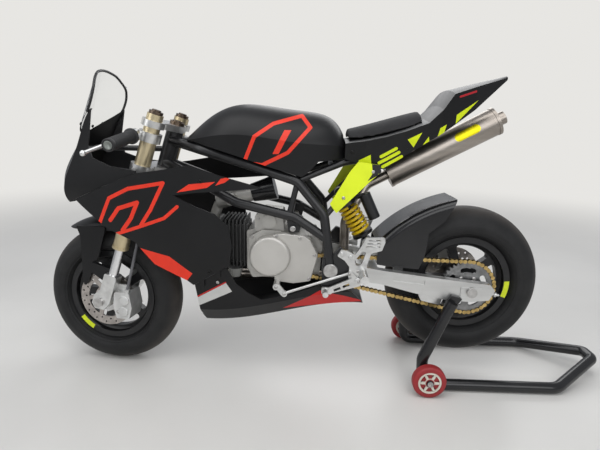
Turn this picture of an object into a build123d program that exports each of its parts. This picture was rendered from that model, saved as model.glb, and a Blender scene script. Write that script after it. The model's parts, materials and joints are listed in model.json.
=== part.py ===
from build123d import *
import math
import os

# A mini race motorcycle held by its rear paddock stand, in millimetres.
# While the pieces are drawn, x runs rearward from the front axle, y to the rider's right and z up
# from the floor. The steered pieces are drawn straight ahead and then turned together.

# Driving dimensions: wheels
WHEELBASE = 1060.0
FRONT_TYRE_R = 213.5
REAR_TYRE_R = 225.0
FRONT_TYRE_W = 100.0
REAR_TYRE_W = 118.0
REAR_LIFT = 66.8
BEAD_SEAT_R = 127.0
FLANGE_R = 138.4
FRONT_RIM_HALF = 33.0
REAR_RIM_HALF = 38.0
AXLE_R = 8.5
RUNNING = 0.05
SEAT_GAP = 0.3
SPOKES = 5
FRONT_DISC_R = 87.0
REAR_DISC_R = 80.0
DISC_T = 4.0

# Driving dimensions: steering
RAKE = 18.0
STEER_AT_REST = 8.0
FORK_TRAIL_X = 14.0
STEM_BEHIND_FORK = 28.0
FORK_Y = 85.0
STEM_R = 15.0
STEM_BORE_R = 9.0

# Driving dimensions: chassis and engine
PIVOT_X = 663.0
PIVOT_Z = 350.0
ARM_IN_Y = 90.0
ARM_OUT_Y = 116.0
FRAME_TUBE_R = 13.0
CHAIN_Y = 74.0
CHAIN_PITCH = 12.7
REAR_TEETH = 38
FRONT_TEETH = 14
FRONT_SPROCKET_X = 585.0
FRONT_SPROCKET_Z = 347.0
ENGINE_HALF = 78.0
BOSS_OUT = 84.0
COVER_X = 493.0
COVER_Z = 377.0
COVER_R = 58.0
PANEL_T = 4.0

# Driving dimensions: stand
STAND_TUBE_R = 16.0
STAND_Y = 140.0
STAND_CORNER_X = 1325.0
STAND_TAIL_X = 1486.0
STAND_TAIL_Z = 50.0
STAND_TAIL_Y = 24.0
STAND_TOP = (1003.0, 268.0)
STAND_WHEEL_X = 948.0
STAND_WHEEL_R = 47.0
STAND_WHEEL_W = 28.0
STAND_WHEEL_Y = 176.0
STAND_AXLE_R = 6.0

FRONT_AXLE_Z = FRONT_TYRE_R
REAR_AXLE_X = WHEELBASE
REAR_AXLE_Z = REAR_TYRE_R + REAR_LIFT
RAKE_SIN = math.sin(math.radians(RAKE))
RAKE_COS = math.cos(math.radians(RAKE))
ORIGIN_X = (STAND_TAIL_X + STAND_TUBE_R - FRONT_TYRE_R) / 2
SIDES = (-1, 1)

# The fork's own frame: local x is rearward across the leg, local z runs up the leg
FORK = Plane(
    origin=(FORK_TRAIL_X, 0, FRONT_AXLE_Z),
    x_dir=(RAKE_COS, 0, -RAKE_SIN),
    z_dir=(RAKE_SIN, 0, RAKE_COS),
)
STEER_AXIS = Axis(
    (FORK_TRAIL_X + STEM_BEHIND_FORK / RAKE_COS, 0, FRONT_AXLE_Z),
    (RAKE_SIN, 0, RAKE_COS),
)
UP = (Align.CENTER, Align.CENTER, Align.MIN)

parts = {}


def keep(name, *solids):
    """Stores the solids of one node."""
    parts[name] = list(solids)


def keep_steered(name, *solids):
    """Stores the solids of one node after they have turned with the handlebars."""
    parts[name] = [s.rotate(STEER_AXIS, -STEER_AT_REST) for s in solids]


def mirrored(solid):
    """The same piece on the other side of the mid-plane."""
    return mirror(solid, about=Plane.XZ)


def outline(points, radius=0.0):
    """A closed face in the side view from (x, z) points, with its corners rounded."""
    face = make_face(Polyline(*points, close=True))
    if radius:
        face = fillet(face.vertices(), radius)
    return Plane.XZ * face


def side_plate(points, y_one, y_other, radius=0.0):
    """A plate drawn in the side view that fills the space between two values of y."""
    low = min(y_one, y_other)
    return extrude(Pos(0, low, 0) * outline(points, radius), amount=abs(y_one - y_other), dir=(0, 1, 0))


def rod(start, end, radius):
    """A straight round bar between two points."""
    axis = Vector(*end) - Vector(*start)
    return extrude(Plane(origin=start, z_dir=axis) * Circle(radius), amount=axis.length)


def disc(x, z, radius, y_one, y_other, bore=0.0):
    """A round plate or tube whose axis lies across the bike."""
    low = min(y_one, y_other)
    high = max(y_one, y_other)
    solid = rod((x, low, z), (x, high, z), radius)
    if bore:
        solid -= rod((x, low - 1, z), (x, high + 1, z), bore)
    return solid


def dome(x, z, radius, y_flat, y_crown, edge):
    """A round cover across the bike whose outer rim is rounded by edge."""
    way = 1 if y_crown > y_flat else -1
    shape = Polyline(
        (y_crown - way * edge, radius), (y_flat, radius), (y_flat, 0), (y_crown, 0), (y_crown, radius - edge))
    corner = ThreePointArc(
        (y_crown, radius - edge),
        (y_crown - way * edge * 0.293, radius - edge * 0.293),
        (y_crown - way * edge, radius),
    )
    face = Plane(origin=(x, 0, z), x_dir=(0, 1, 0), z_dir=(1, 0, 0)) * make_face([shape, corner])
    return revolve(face, Axis((x, 0, z), (0, 1, 0)))


def tube(points, radius, bend):
    """A bent round tube along straight runs joined by tangent arcs."""
    path = FilletPolyline(*points, radius=bend)
    return sweep(Plane(origin=path @ 0, z_dir=path % 0) * Circle(radius), path=path)


def block(x_low, x_high, y_low, y_high, z_low, z_high):
    """A block between two corners."""
    size = (x_high - x_low, y_high - y_low, z_high - z_low)
    middle = ((x_high + x_low) / 2, (y_high + y_low) / 2, (z_high + z_low) / 2)
    return Pos(*middle) * Box(*size)


def bike_point(local):
    """A point of the fork's frame in the bike's frame."""
    return tuple(FORK.from_local_coords(local))


# Tyres: a carcass with a round crown, its beads in the rim behind the flanges
TYRE_WALL = 9.0
FLANGE_T = 4.0


def tyre(outer_r, width, rim_half):
    """A tyre ring about the Y axis."""
    bead = rim_half - FLANGE_T - SEAT_GAP
    wide_r = (outer_r + FLANGE_R) / 2 - 4
    foot = BEAD_SEAT_R + SEAT_GAP
    knee = (FLANGE_R + 12, width * 0.44)
    side = Polyline((foot, -bead), (FLANGE_R + 2, -bead))
    wall = ThreePointArc((FLANGE_R + 2, -bead), (knee[0], -knee[1]), (wide_r, -width / 2))
    crown = ThreePointArc((wide_r, -width / 2), (outer_r, 0), (wide_r, width / 2))
    other = ThreePointArc((wide_r, width / 2), knee, (FLANGE_R + 2, bead))
    end = Polyline((FLANGE_R + 2, bead), (foot, bead), (foot, -bead))
    ring = revolve(make_face([side, wall, crown, other, end]), Axis.Y)
    half = width / 2 - TYRE_WALL
    inner_bead = bead - TYRE_WALL
    inner = ThreePointArc((wide_r, -half), (outer_r - TYRE_WALL, 0), (wide_r, half))
    floor = Polyline(
        (wide_r, half), (FLANGE_R + 10, inner_bead), (foot - 5, inner_bead),
        (foot - 5, -inner_bead), (FLANGE_R + 10, -inner_bead), (wide_r, -half),
    )
    return ring - revolve(make_face([inner, floor]), Axis.Y)


# Rims: a turned barrel with a well, a cast web with five rounded windows, and a hub
RIM_WALL = 6.0
WELL_DROP = 10.0
HUB_R = 27.0
WEB_T = 24.0
WINDOW_IN_R = 44.0
SPOKE_IN_W = 22.0
SPOKE_OUT_W = 26.0


def rim(rim_half, hub_low, hub_high):
    """A cast wheel about the Y axis, without its tyre."""
    well = BEAD_SEAT_R - WELL_DROP
    shape = [
        (FLANGE_R, -rim_half), (FLANGE_R, -rim_half + FLANGE_T), (BEAD_SEAT_R, -rim_half + FLANGE_T),
        (BEAD_SEAT_R, -rim_half + 20), (well, -rim_half + 26), (well, rim_half - 26),
        (BEAD_SEAT_R, rim_half - 20), (BEAD_SEAT_R, rim_half - FLANGE_T), (FLANGE_R, rim_half - FLANGE_T),
        (FLANGE_R, rim_half), (BEAD_SEAT_R - RIM_WALL, rim_half), (BEAD_SEAT_R - RIM_WALL, rim_half - 18),
        (well - RIM_WALL, rim_half - 24), (well - RIM_WALL, -rim_half + 24),
        (BEAD_SEAT_R - RIM_WALL, -rim_half + 18), (BEAD_SEAT_R - RIM_WALL, -rim_half),
    ]
    barrel = revolve(make_face(Polyline(*shape, close=True)), Axis.Y)
    reach = well - RIM_WALL
    window_out = reach - 3
    web = Circle(reach + 2)
    corners = []
    for r, width in ((WINDOW_IN_R, SPOKE_IN_W), (window_out, SPOKE_OUT_W)):
        half_angle = math.pi / SPOKES - math.asin(width / 2 / r)
        corners.append((r * math.cos(half_angle), r * math.sin(half_angle)))
    (x_in, y_in), (x_out, y_out) = corners
    edge = Polyline((x_out, -y_out), (x_in, -y_in), (x_in, y_in), (x_out, y_out))
    window = make_face([edge, ThreePointArc((x_out, y_out), (window_out, 0), (x_out, -y_out))])
    window = fillet(window.vertices(), 8)
    for number in range(SPOKES):
        web -= Rot(0, 0, 360 / SPOKES * number) * window
    wheel = barrel + extrude(Plane.XZ * web, amount=WEB_T / 2, both=True)
    wheel += rod((0, hub_low, 0), (0, hub_high, 0), HUB_R)
    return wheel - rod((0, hub_low - 1, 0), (0, hub_high + 1, 0), AXLE_R + RUNNING)


# Brake discs: a drilled ring on a light carrier, bolted to the hub
DISC_BAND = 26.0
DISC_ARMS = 6
DISC_HOLE_R = 3.0


def brake_disc(radius, y_middle, holes):
    """A drilled brake disc about the Y axis with arms to its hub ring."""
    face = Circle(radius) - Circle(radius - DISC_BAND)
    face += Circle(HUB_R + 12)
    arm = make_face(Polyline(
        (HUB_R, -9), (radius - DISC_BAND + 2, 1), (radius - DISC_BAND + 2, 14), (HUB_R, 3), close=True))
    for number in range(DISC_ARMS):
        face += Rot(0, 0, 360 / DISC_ARMS * number) * arm
    face -= Circle(HUB_R - 8)
    for number in range(holes):
        row = radius - 8 - 10 * (number % 2)
        face -= Rot(0, 0, 360 / holes * number) * (Pos(row, 0) * Circle(DISC_HOLE_R))
    return Pos(0, y_middle, 0) * extrude(Plane.XZ * face, amount=DISC_T / 2, both=True)


FRONT_HUB_HALF = 42.0
FRONT_DISC_Y = -56.0
front_wheel_place = Pos(0, 0, FRONT_AXLE_Z)
front_hub_left = FRONT_DISC_Y + DISC_T / 2 + SEAT_GAP
keep_steered("front_tyre", front_wheel_place * tyre(FRONT_TYRE_R, FRONT_TYRE_W, FRONT_RIM_HALF))
keep_steered("front_rim", front_wheel_place * rim(FRONT_RIM_HALF, front_hub_left, FRONT_HUB_HALF))
keep_steered("front_brake_disc", front_wheel_place * brake_disc(FRONT_DISC_R, FRONT_DISC_Y, 30))

# Rear wheel: sprocket on the left, brake disc on the right
REAR_DISC_Y = 68.0
SPROCKET_T = 6.0
rear_wheel_place = Pos(REAR_AXLE_X, 0, REAR_AXLE_Z)
rear_hub_low = -CHAIN_Y + SPROCKET_T / 2 + SEAT_GAP
rear_hub_high = REAR_DISC_Y - DISC_T / 2 - SEAT_GAP
keep("rear_tyre", rear_wheel_place * tyre(REAR_TYRE_R, REAR_TYRE_W, REAR_RIM_HALF))
keep("rear_rim", rear_wheel_place * rim(REAR_RIM_HALF, rear_hub_low, rear_hub_high))
keep("rear_brake_disc", rear_wheel_place * brake_disc(REAR_DISC_R, REAR_DISC_Y, 24))


def pitch_radius(teeth):
    """Radius of the line through the chain's pins on a sprocket."""
    return CHAIN_PITCH / (2 * math.sin(math.pi / teeth))


def sprocket(teeth, bore):
    """A chain wheel about the Y axis whose teeth stay a little inside the rollers."""
    root_r = pitch_radius(teeth) - 5.0
    tip_r = pitch_radius(teeth) + 1.0
    step = 2 * math.pi / teeth
    points = []
    for number in range(teeth):
        for share, r in ((-0.30, root_r), (-0.12, tip_r), (0.12, tip_r), (0.30, root_r)):
            angle = (number + share) * step
            points.append((r * math.cos(angle), r * math.sin(angle)))
    return make_face(Polyline(*points, close=True)) - Circle(bore)


SLOT_R = 51.0
SLOT_W = 15.0
rear_plate = sprocket(REAR_TEETH, HUB_R - 8)
for number in range(5):
    slot = SlotArc(CenterArc((0, 0), SLOT_R, -17, 34), SLOT_W)
    rear_plate -= Rot(0, 0, 72 * number + 90) * slot
rear_sprocket = extrude(Plane.XZ * rear_plate, amount=SPROCKET_T / 2, both=True)
keep("rear_sprocket", Pos(REAR_AXLE_X, -CHAIN_Y, REAR_AXLE_Z) * rear_sprocket)

# Engine sprocket on the end of its shaft, which comes out of the crankcase
SHAFT_R = 9.0
front_plate = sprocket(FRONT_TEETH, SHAFT_R + RUNNING)
front_sprocket = extrude(Plane.XZ * front_plate, amount=SPROCKET_T / 2, both=True)
keep("front_sprocket", Pos(FRONT_SPROCKET_X, -CHAIN_Y, FRONT_SPROCKET_Z) * front_sprocket)

# Chain: one closed loop round both sprockets, with a slot inside for their teeth
CHAIN_HALF_H = 5.5
CHAIN_HALF_W = 8.0
TOOTH_ROOM = 0.4


def chain_band(offset):
    """The area inside the chain line, grown by offset, in the side view."""
    big_r = pitch_radius(REAR_TEETH) + offset
    small_r = pitch_radius(FRONT_TEETH) + offset
    big = Pos(REAR_AXLE_X, REAR_AXLE_Z) * Circle(big_r)
    small = Pos(FRONT_SPROCKET_X, FRONT_SPROCKET_Z) * Circle(small_r)
    gap_x = REAR_AXLE_X - FRONT_SPROCKET_X
    gap_z = REAR_AXLE_Z - FRONT_SPROCKET_Z
    slope = math.atan2(gap_z, gap_x)
    lean = math.acos((big_r - small_r) / math.hypot(gap_x, gap_z))
    corners = []
    for sign in (1, -1):
        angle = slope + sign * (math.pi - lean)
        across = (math.cos(angle), math.sin(angle))
        pair = [
            (FRONT_SPROCKET_X + small_r * across[0], FRONT_SPROCKET_Z + small_r * across[1]),
            (REAR_AXLE_X + big_r * across[0], REAR_AXLE_Z + big_r * across[1]),
        ]
        corners += pair if sign == 1 else pair[::-1]
    return big + small + make_face(Polyline(*corners, close=True))


chain_face = chain_band(CHAIN_HALF_H) - chain_band(-CHAIN_HALF_H)
chain = extrude(Plane.XZ * chain_face, amount=CHAIN_HALF_W, both=True)
slot_face = chain_band(3.2) - chain_band(-CHAIN_HALF_H - 2)
chain -= extrude(Plane.XZ * slot_face, amount=SPROCKET_T / 2 + TOOTH_ROOM, both=True)
keep("chain", Pos(0, -CHAIN_Y, 0) * chain)

# Front axle with its shoulders, which hold the hub between the fork feet, and its two nuts
FOOT_HALF = 17.0
foot_in = FORK_Y - FOOT_HALF
foot_out = FORK_Y + FOOT_HALF
axle = disc(0, FRONT_AXLE_Z, AXLE_R, -foot_out - 4, foot_out + 4)
axle += disc(0, FRONT_AXLE_Z, 13, -foot_in + SEAT_GAP, front_hub_left - DISC_T - 2 * SEAT_GAP)
axle += disc(0, FRONT_AXLE_Z, 13, FRONT_HUB_HALF + SEAT_GAP, foot_in - SEAT_GAP)
for side in SIDES:
    axle += disc(0, FRONT_AXLE_Z, 14, side * (foot_out + SEAT_GAP), side * (foot_out + 8), 0)
keep_steered("front_axle", axle)

# Fork: outer tubes above with a collar at their mouth, bright inner tubes, cast feet on the axle
OUTER_R = 22.0
INNER_R = 14.0
OUTER_FROM = 172.0
OUTER_TO = 571.0
INNER_TO = 330.0
FOOT_TOP = 88.0
CAP_TOP = 583.0
outer_tubes = []
inner_tubes = []
feet = []
caps = []
for side in SIDES:
    y = side * FORK_Y
    outer = Pos(0, y, OUTER_FROM) * Cylinder(OUTER_R, OUTER_TO - OUTER_FROM, align=UP)
    outer += Pos(0, y, OUTER_FROM) * Cylinder(OUTER_R + 1.5, 8, align=UP)
    bore = Pos(0, y, OUTER_FROM - 1) * Cylinder(INNER_R + 0.2, INNER_TO - OUTER_FROM + 5, align=UP)
    outer_tubes.append(FORK * (outer - bore))
    inner = Pos(0, y, FOOT_TOP - 20) * Cylinder(INNER_R, INNER_TO - FOOT_TOP + 20, align=UP)
    inner_tubes.append(FORK * inner)
    foot_shape = Polyline(
        (-19, 88), (19, 88), (19, 4), (8, -22), (-22, -27), (-34, -14), (-34, 12), (-20, 34), close=True)
    foot_face = fillet(make_face(foot_shape).vertices(), 5)
    foot = extrude(Pos(0, y - FOOT_HALF, 0) * (Plane.XZ * foot_face), amount=2 * FOOT_HALF, dir=(0, 1, 0))
    socket = rod((0, y, FOOT_TOP - 20), (0, y, FOOT_TOP + 20), INNER_R + RUNNING)
    foot = FORK * (foot.solid() - socket)
    feet.append(foot - disc(0, FRONT_AXLE_Z, AXLE_R + RUNNING, y - 30, y + 30))
    cap = Pos(0, y, OUTER_TO) * Cylinder(19, CAP_TOP - OUTER_TO - 4, align=UP)
    cap += Pos(0, y, OUTER_TO + 4) * Cylinder(12, CAP_TOP - OUTER_TO - 4, align=UP)
    caps.append(FORK * cap)
keep_steered("fork_outer_tubes", *outer_tubes)
keep_steered("fork_inner_tubes", *inner_tubes)
keep_steered("fork_feet", *feet)

# Triple clamps on the outer tubes, and the hollow steering stem between them
TOP_CLAMP_AT = 536.0
TOP_CLAMP_T = 18.0
LOW_CLAMP_AT = 400.0
LOW_CLAMP_T = 28.0
CLAMP_WALL = 9.0
HOSE_FITTING = (30.0, -45.0)
clamps = []
for level, thick in ((TOP_CLAMP_AT, TOP_CLAMP_T), (LOW_CLAMP_AT, LOW_CLAMP_T)):
    face = make_face(Polyline((-16, -70), (26, -60), (48, -24), (48, 24), (26, 60), (-16, 70), close=True))
    for side in SIDES:
        face += Pos(0, side * FORK_Y) * Circle(OUTER_R + CLAMP_WALL)
    for side in SIDES:
        face -= Pos(0, side * FORK_Y) * Circle(OUTER_R + RUNNING)
    face -= Pos(STEM_BEHIND_FORK, 0) * Circle(STEM_R + RUNNING)
    clamps.append(FORK * (Pos(0, 0, level) * extrude(face, amount=thick)))
hose_top = bike_point((HOSE_FITTING[0], HOSE_FITTING[1], LOW_CLAMP_AT - 12))
clamps[1] += rod(hose_top, bike_point((HOSE_FITTING[0], HOSE_FITTING[1], LOW_CLAMP_AT + 2)), 6)
keep_steered("triple_clamps", *clamps)
STEM_FROM = LOW_CLAMP_AT - 12
STEM_TO = TOP_CLAMP_AT + TOP_CLAMP_T + 12
stem = Pos(STEM_BEHIND_FORK, 0, STEM_FROM) * Cylinder(STEM_R, STEM_TO - STEM_FROM, align=UP)
stem += Pos(STEM_BEHIND_FORK, 0, TOP_CLAMP_AT + TOP_CLAMP_T + SEAT_GAP) * Cylinder(STEM_R + 6, 9, align=UP)
stem -= Pos(STEM_BEHIND_FORK, 0, STEM_FROM) * Cylinder(STEM_BORE_R, 500)
keep_steered("stem_and_fork_caps", FORK * stem, *caps)

# Clip-on handlebars: a clamp ring on each fork leg and a bar that drops outward, with its grip
BAR_AT = 508.0
BAR_R = 11.0
GRIP_R = 16.5
BAR_TIP = (150.0, 252.0, 674.0)
GRIP_LENGTH = 118.0
LEVER_TIP = (62.0, 222.0, 652.0)
PERCH_AT = 26.0
LEVER_AT = 32.0
bars = []
grips = []
levers = []
for side in SIDES:
    leg = Pos(0, side * FORK_Y, BAR_AT) * Cylinder(OUTER_R + RUNNING, 80)
    ring = Pos(0, side * FORK_Y, BAR_AT) * Cylinder(OUTER_R + CLAMP_WALL, 26)
    root = bike_point((-26, side * (FORK_Y + 14), BAR_AT))
    tip = (BAR_TIP[0], side * BAR_TIP[1], BAR_TIP[2])
    bars.append(rod(root, tip, BAR_R) + FORK * ring - FORK * leg)
    along = (Vector(*tip) - Vector(*root)).normalized()
    grip_start = Vector(*tip) - along * (GRIP_LENGTH - 2)
    grip = rod(tuple(grip_start), tuple(Vector(*tip) + along * 2), GRIP_R)
    grip += rod(tuple(grip_start), tuple(grip_start + along * 5), GRIP_R + 5)
    grips.append(grip - rod(root, tip, BAR_R + RUNNING))
    perch = Vector(*root) + along * PERCH_AT
    lever_root = Vector(*root) + along * LEVER_AT + Vector(-30, side * 4, -8)
    lever = rod(tuple(perch - along * 7), tuple(perch + along * 7), BAR_R + 6)
    lever += rod(tuple(perch), tuple(lever_root), 6)
    lever += rod(tuple(lever_root), (LEVER_TIP[0], side * LEVER_TIP[1], LEVER_TIP[2]), 5)
    lever += Pos(LEVER_TIP[0], side * LEVER_TIP[1], LEVER_TIP[2]) * Sphere(8)
    levers.append(lever - rod(root, tip, BAR_R + RUNNING))
keep_steered("handlebars", *bars)
keep_steered("grips", *grips)
keep_steered("levers", *levers)

# Front caliper on a bracket of the left foot: two piston bosses outside, a slot over the disc
CALIPER_OUT = -96.0
CALIPER_IN = -32.0
caliper = side_plate(
    [(46, 246), (92, 246), (100, 200), (90, 164), (50, 166), (42, 205)], CALIPER_OUT, CALIPER_IN, 6)
caliper -= disc(0, FRONT_AXLE_Z, FRONT_DISC_R + 4, FRONT_DISC_Y - 5, FRONT_DISC_Y + 5)
for x, z in ((78, 222), (74, 188)):
    caliper += dome(x, z, 15, CALIPER_OUT + 1, CALIPER_OUT - 5, 3)
caliper += side_plate(
    [(30, 266), (84, 264), (84, 240), (60, 196), (10, 176), (4, 192), (30, 200)], -78, -72, 4)
hose_foot = (84.0, -88.0, 254.0)
caliper += rod((hose_foot[0], hose_foot[1], 240), hose_foot, 6)
for foot in feet:
    caliper -= foot
keep_steered("front_caliper", caliper)

# Brake hose from the caliper up behind the left leg to the fitting under the lower clamp
HOSE_R = 4.0
hose_end = bike_point((HOSE_FITTING[0], HOSE_FITTING[1], LOW_CLAMP_AT - 13.6))
hose_points = [(84.5, -88, 255.6), (106, -90, 330), (124, -80, 420), (150, -58, 520), hose_end]
keep_steered("brake_hose", tube(hose_points, HOSE_R, [150, 150, 150]))

# Front mudguard: a curved hood over the tyre with a flap down each side to the fork foot
GUARD_R = 248.0
GUARD_HALF = 62.0
GUARD_DEPTH = 43.0
GUARD_CUT = 40.5
GUARD_EDGE_R = GUARD_R - GUARD_DEPTH
GUARD_LOW_Z = FRONT_AXLE_Z + GUARD_R - GUARD_CUT
GUARD_T = 4.0
GUARD_FROM = 118.0
GUARD_SPAN = 63.0
FLAP_OUT = 66.0


def guard_profile(inset):
    """Rounded hood section, as (radius, y), whose inner form runs out through the open underside."""
    top = GUARD_R - inset
    half = GUARD_HALF - inset
    edge = GUARD_EDGE_R - 4 * inset
    arc = ThreePointArc((top - 20, -half + 5), (top, 0), (top - 20, half - 5))
    rest = Polyline(
        (top - 20, half - 5), (top - 27, half), (edge, half),
        (edge, -half), (top - 27, -half), (top - 20, 5 - half),
    )
    return make_face([arc, rest])


hood = revolve(guard_profile(0), Axis.Y, GUARD_SPAN) - revolve(guard_profile(GUARD_T), Axis.Y, GUARD_SPAN)
guard = Pos(0, 0, FRONT_AXLE_Z) * hood.rotate(Axis.Y, -GUARD_FROM - GUARD_SPAN + 56)
guard -= block(-200, 200, -100, 100, 300, GUARD_LOW_Z)
flap_points = [
    (-84, GUARD_LOW_Z + 11), (-72, GUARD_LOW_Z - 21), (-72, 265), (-68, 246), (-56, 258), (-38, 300),
    (-14, 350), (6, GUARD_LOW_Z - 7), (10, GUARD_LOW_Z + 11),
]
tab_points = [(-44, 300), (-34, 326), (40, 306), (16, 262)]
for side in SIDES:
    guard += side_plate(flap_points, side * (GUARD_HALF - 0.5), side * FLAP_OUT, 4)
    guard += side_plate(tab_points, side * (FLAP_OUT - 2), side * (FORK_Y - 8))
for foot in feet:
    guard -= foot
for tube_piece in inner_tubes:
    guard -= tube_piece
guard = guard.solids().sort_by(SortBy.VOLUME)[-1]
keep_steered("front_mudguard", guard)

# Nose fairing: level sections with an apex, a ridge and a rear end, as z, apex x, ridge x, ridge y, rear y
NOSE_REAR_X = 142.0
NOSE_SECTIONS = (
    (500, -100, -60, 84, 128),
    (550, -134, -86, 92, 142),
    (640, -102, -50, 98, 140),
    (705, -62, -20, 104, 128),
    (780, -28, 22, 110, 118),
)
SCREEN_LINE = ((-62.0, 701.0), (17.0, 772.0))
NOSE_LOW_LINE = ((-96.0, 505.0), (-4.0, 548.0), (137.0, 608.0))
NOSE_TABS = ((22.0, 106.0), (104.0, 122.0))


def nose_body(inset):
    """The nose as a solid, with its wall moved in by inset."""
    sections = []
    for z, apex_x, ridge_x, ridge_y, rear_y in NOSE_SECTIONS:
        rear_x = NOSE_REAR_X + 5 * inset
        points = [
            (apex_x + 1.1 * inset, 0), (ridge_x + inset, ridge_y - inset), (rear_x, rear_y - inset),
            (rear_x, inset - rear_y), (ridge_x + inset, inset - ridge_y),
        ]
        sections.append(Pos(0, 0, z) * make_face(Polyline(*points, close=True)))
    return loft(sections)


# Side fairings: bowed panels, as x, then y at the bottom, middle and top
FAIR_Z = (150, 430, 660)
FAIR_SECTIONS = (
    (-60, 96, 112, 84),
    (80, 116, 146, 136),
    (240, 120, 156, 146),
    (400, 118, 150, 142),
    (500, 112, 144, 134),
)


def fairing_core(inset):
    """The space inside the left fairing's surface moved in by inset, down to the mid-plane."""
    sections = []
    for x, low, middle, top in FAIR_SECTIONS:
        bow = ThreePointArc((inset - low, FAIR_Z[0]), (inset - middle, FAIR_Z[1]), (inset - top, FAIR_Z[2]))
        rest = Polyline((inset - top, FAIR_Z[2]), (0, FAIR_Z[2]), (0, FAIR_Z[0]), (inset - low, FAIR_Z[0]))
        sections.append(Pos(x, 0, 0) * (Plane.YZ * make_face([bow, rest])))
    return loft(sections)


nose_trim = side_plate(
    [(-160, 490), *NOSE_LOW_LINE, (137, 613), (60, 622), (10, 642), (0, 672), SCREEN_LINE[1], SCREEN_LINE[0],
     (-160, 701)], -200, 200)
behind_fairing = fairing_core(PANEL_T + SEAT_GAP)
nose_shell = nose_body(0) - nose_body(PANEL_T)
nose = nose_shell & nose_trim
for x, tab_in in NOSE_TABS:
    seam_z = NOSE_LOW_LINE[1][1] + (x - NOSE_LOW_LINE[1][0]) * 60 / 141
    tab = block(x - 6, x + 6, -150, -tab_in, seam_z - 14, seam_z - 4) & behind_fairing
    tab += block(x - 6, x + 6, -150, -tab_in, seam_z - 14, seam_z + 12) & behind_fairing & nose_body(2)
    nose += tab + mirrored(tab)
keep("nose_fairing", nose)

# Windscreen: a curved sheet that leans back, lofted between two level arcs and cut to its outline
SCREEN_T = 3.0
SCREEN_SECTIONS = ((670, -74.2, 56), (890, 16, 44))
SCREEN_HALF = 114.0
SCREEN_TOP = 879.0


def screen_body(inset):
    """The space behind the screen."""
    sections = []
    for z, apex_x, sag in SCREEN_SECTIONS:
        arc = ThreePointArc((apex_x + sag + inset, -120), (apex_x + inset, 0), (apex_x + sag + inset, 120))
        back = Polyline((apex_x + sag + inset, 120), (200, 120), (200, -120), (apex_x + sag + inset, -120))
        sections.append(Pos(0, 0, z) * make_face([arc, back]))
    return loft(sections)


screen_front = make_face(Polyline(
    (0, 680), (SCREEN_HALF - 6, 680), (SCREEN_HALF, 806), (104, 838), (66, 868), (0, SCREEN_TOP),
    (-66, 868), (-104, 838), (-SCREEN_HALF, 806), (6 - SCREEN_HALF, 680), close=True))
screen_trim = extrude(Pos(-120, 0, 0) * (Plane.YZ * screen_front), amount=400, dir=(1, 0, 0))
slope = (SCREEN_LINE[1][1] - SCREEN_LINE[0][1]) / (SCREEN_LINE[1][0] - SCREEN_LINE[0][0])
lean = SEAT_GAP / math.cos(math.atan(slope))
screen_foot = [(x, SCREEN_LINE[0][1] + lean + slope * (x - SCREEN_LINE[0][0])) for x in (-120, 160)]
above_nose = side_plate([*screen_foot, (160, 960), (-120, 960)], -200, 200)
keep("windscreen", (screen_body(0) - screen_body(SCREEN_T)) & screen_trim & above_nose)

FAIR_OUTLINE = [
    (-46, 526), (68, 578), (137, 607), (204, 617), (284, 632), (363, 606), (477, 575), (380, 566),
    (300, 560), (240, 552), (296, 524), (350, 503), (385, 470), (393, 416), (385, 356), (371, 351),
    (284, 299), (267, 313), (180, 359), (129, 420), (94, 436), (54, 453), (22, 476),
]
fairing = (fairing_core(0) - fairing_core(PANEL_T)) & side_plate(FAIR_OUTLINE, -200, -60)
keep("left_side_fairing", fairing)
keep("right_side_fairing", mirrored(fairing))

# Belly pan: a tray under the engine, as x, half width at the top, half width at the side, bottom z
BELLY_SECTIONS = ((280, 143, 120, 172), (440, 134, 118, 182), (600, 112, 112, 216), (775, 98, 96, 228))
BELLY_TOP = 358.0
BELLY_OUTLINE = [
    (284, 296), (298, 186), (306, 160), (436, 160), (775, 200), (766, 228), (728, 276), (650, 303),
    (560, 268), (471, 250), (432, 272), (400, 300), (375, 350.4),
]
BELLY_BOLT = (652.0, 290.0)
BELLY_TABS = ((306.0, 309.0), (352.0, 337.0))


def belly_body(inset):
    """The belly pan as a solid."""
    sections = []
    for x, top_half, half, low in BELLY_SECTIONS:
        w = half - inset
        top_w = top_half - inset
        z = low + inset
        points = [
            (-top_w, BELLY_TOP), (-w, z + 46), (-w * 0.66, z), (w * 0.66, z), (w, z + 46), (top_w, BELLY_TOP),
        ]
        reach = x + (x - 500) * 0.02 * (inset > 0)
        sections.append(Pos(reach, 0, 0) * (Plane.YZ * make_face(Polyline(*points, close=True))))
    return loft(sections)


belly_shell = belly_body(0) - belly_body(PANEL_T)
belly = belly_shell & side_plate(BELLY_OUTLINE, -200, 200)
for x, seam_z in BELLY_TABS:
    tab = block(x - 7, x + 7, -160, -120, seam_z - 16, seam_z + 12) & behind_fairing
    tab -= fairing_core(PANEL_T + SEAT_GAP + 8)
    belly += tab + mirrored(tab)
keep("belly_pan", belly)

# Tank cover: full sections, as x, half width, low z, shoulder z, top z, cut along its low edge
TANK_SECTIONS = (
    (256, 62, 640, 694, 706),
    (300, 92, 628, 700, 746),
    (395, 122, 604, 712, 791),
    (520, 126, 584, 700, 784),
    (620, 108, 590, 690, 772),
    (690, 72, 640, 682, 716),
)
TANK_LOW_EDGE = [
    (278, 690), (329, 677), (410, 654), (491, 629), (532, 617), (577, 603), (592, 612), (622, 644),
]


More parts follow.
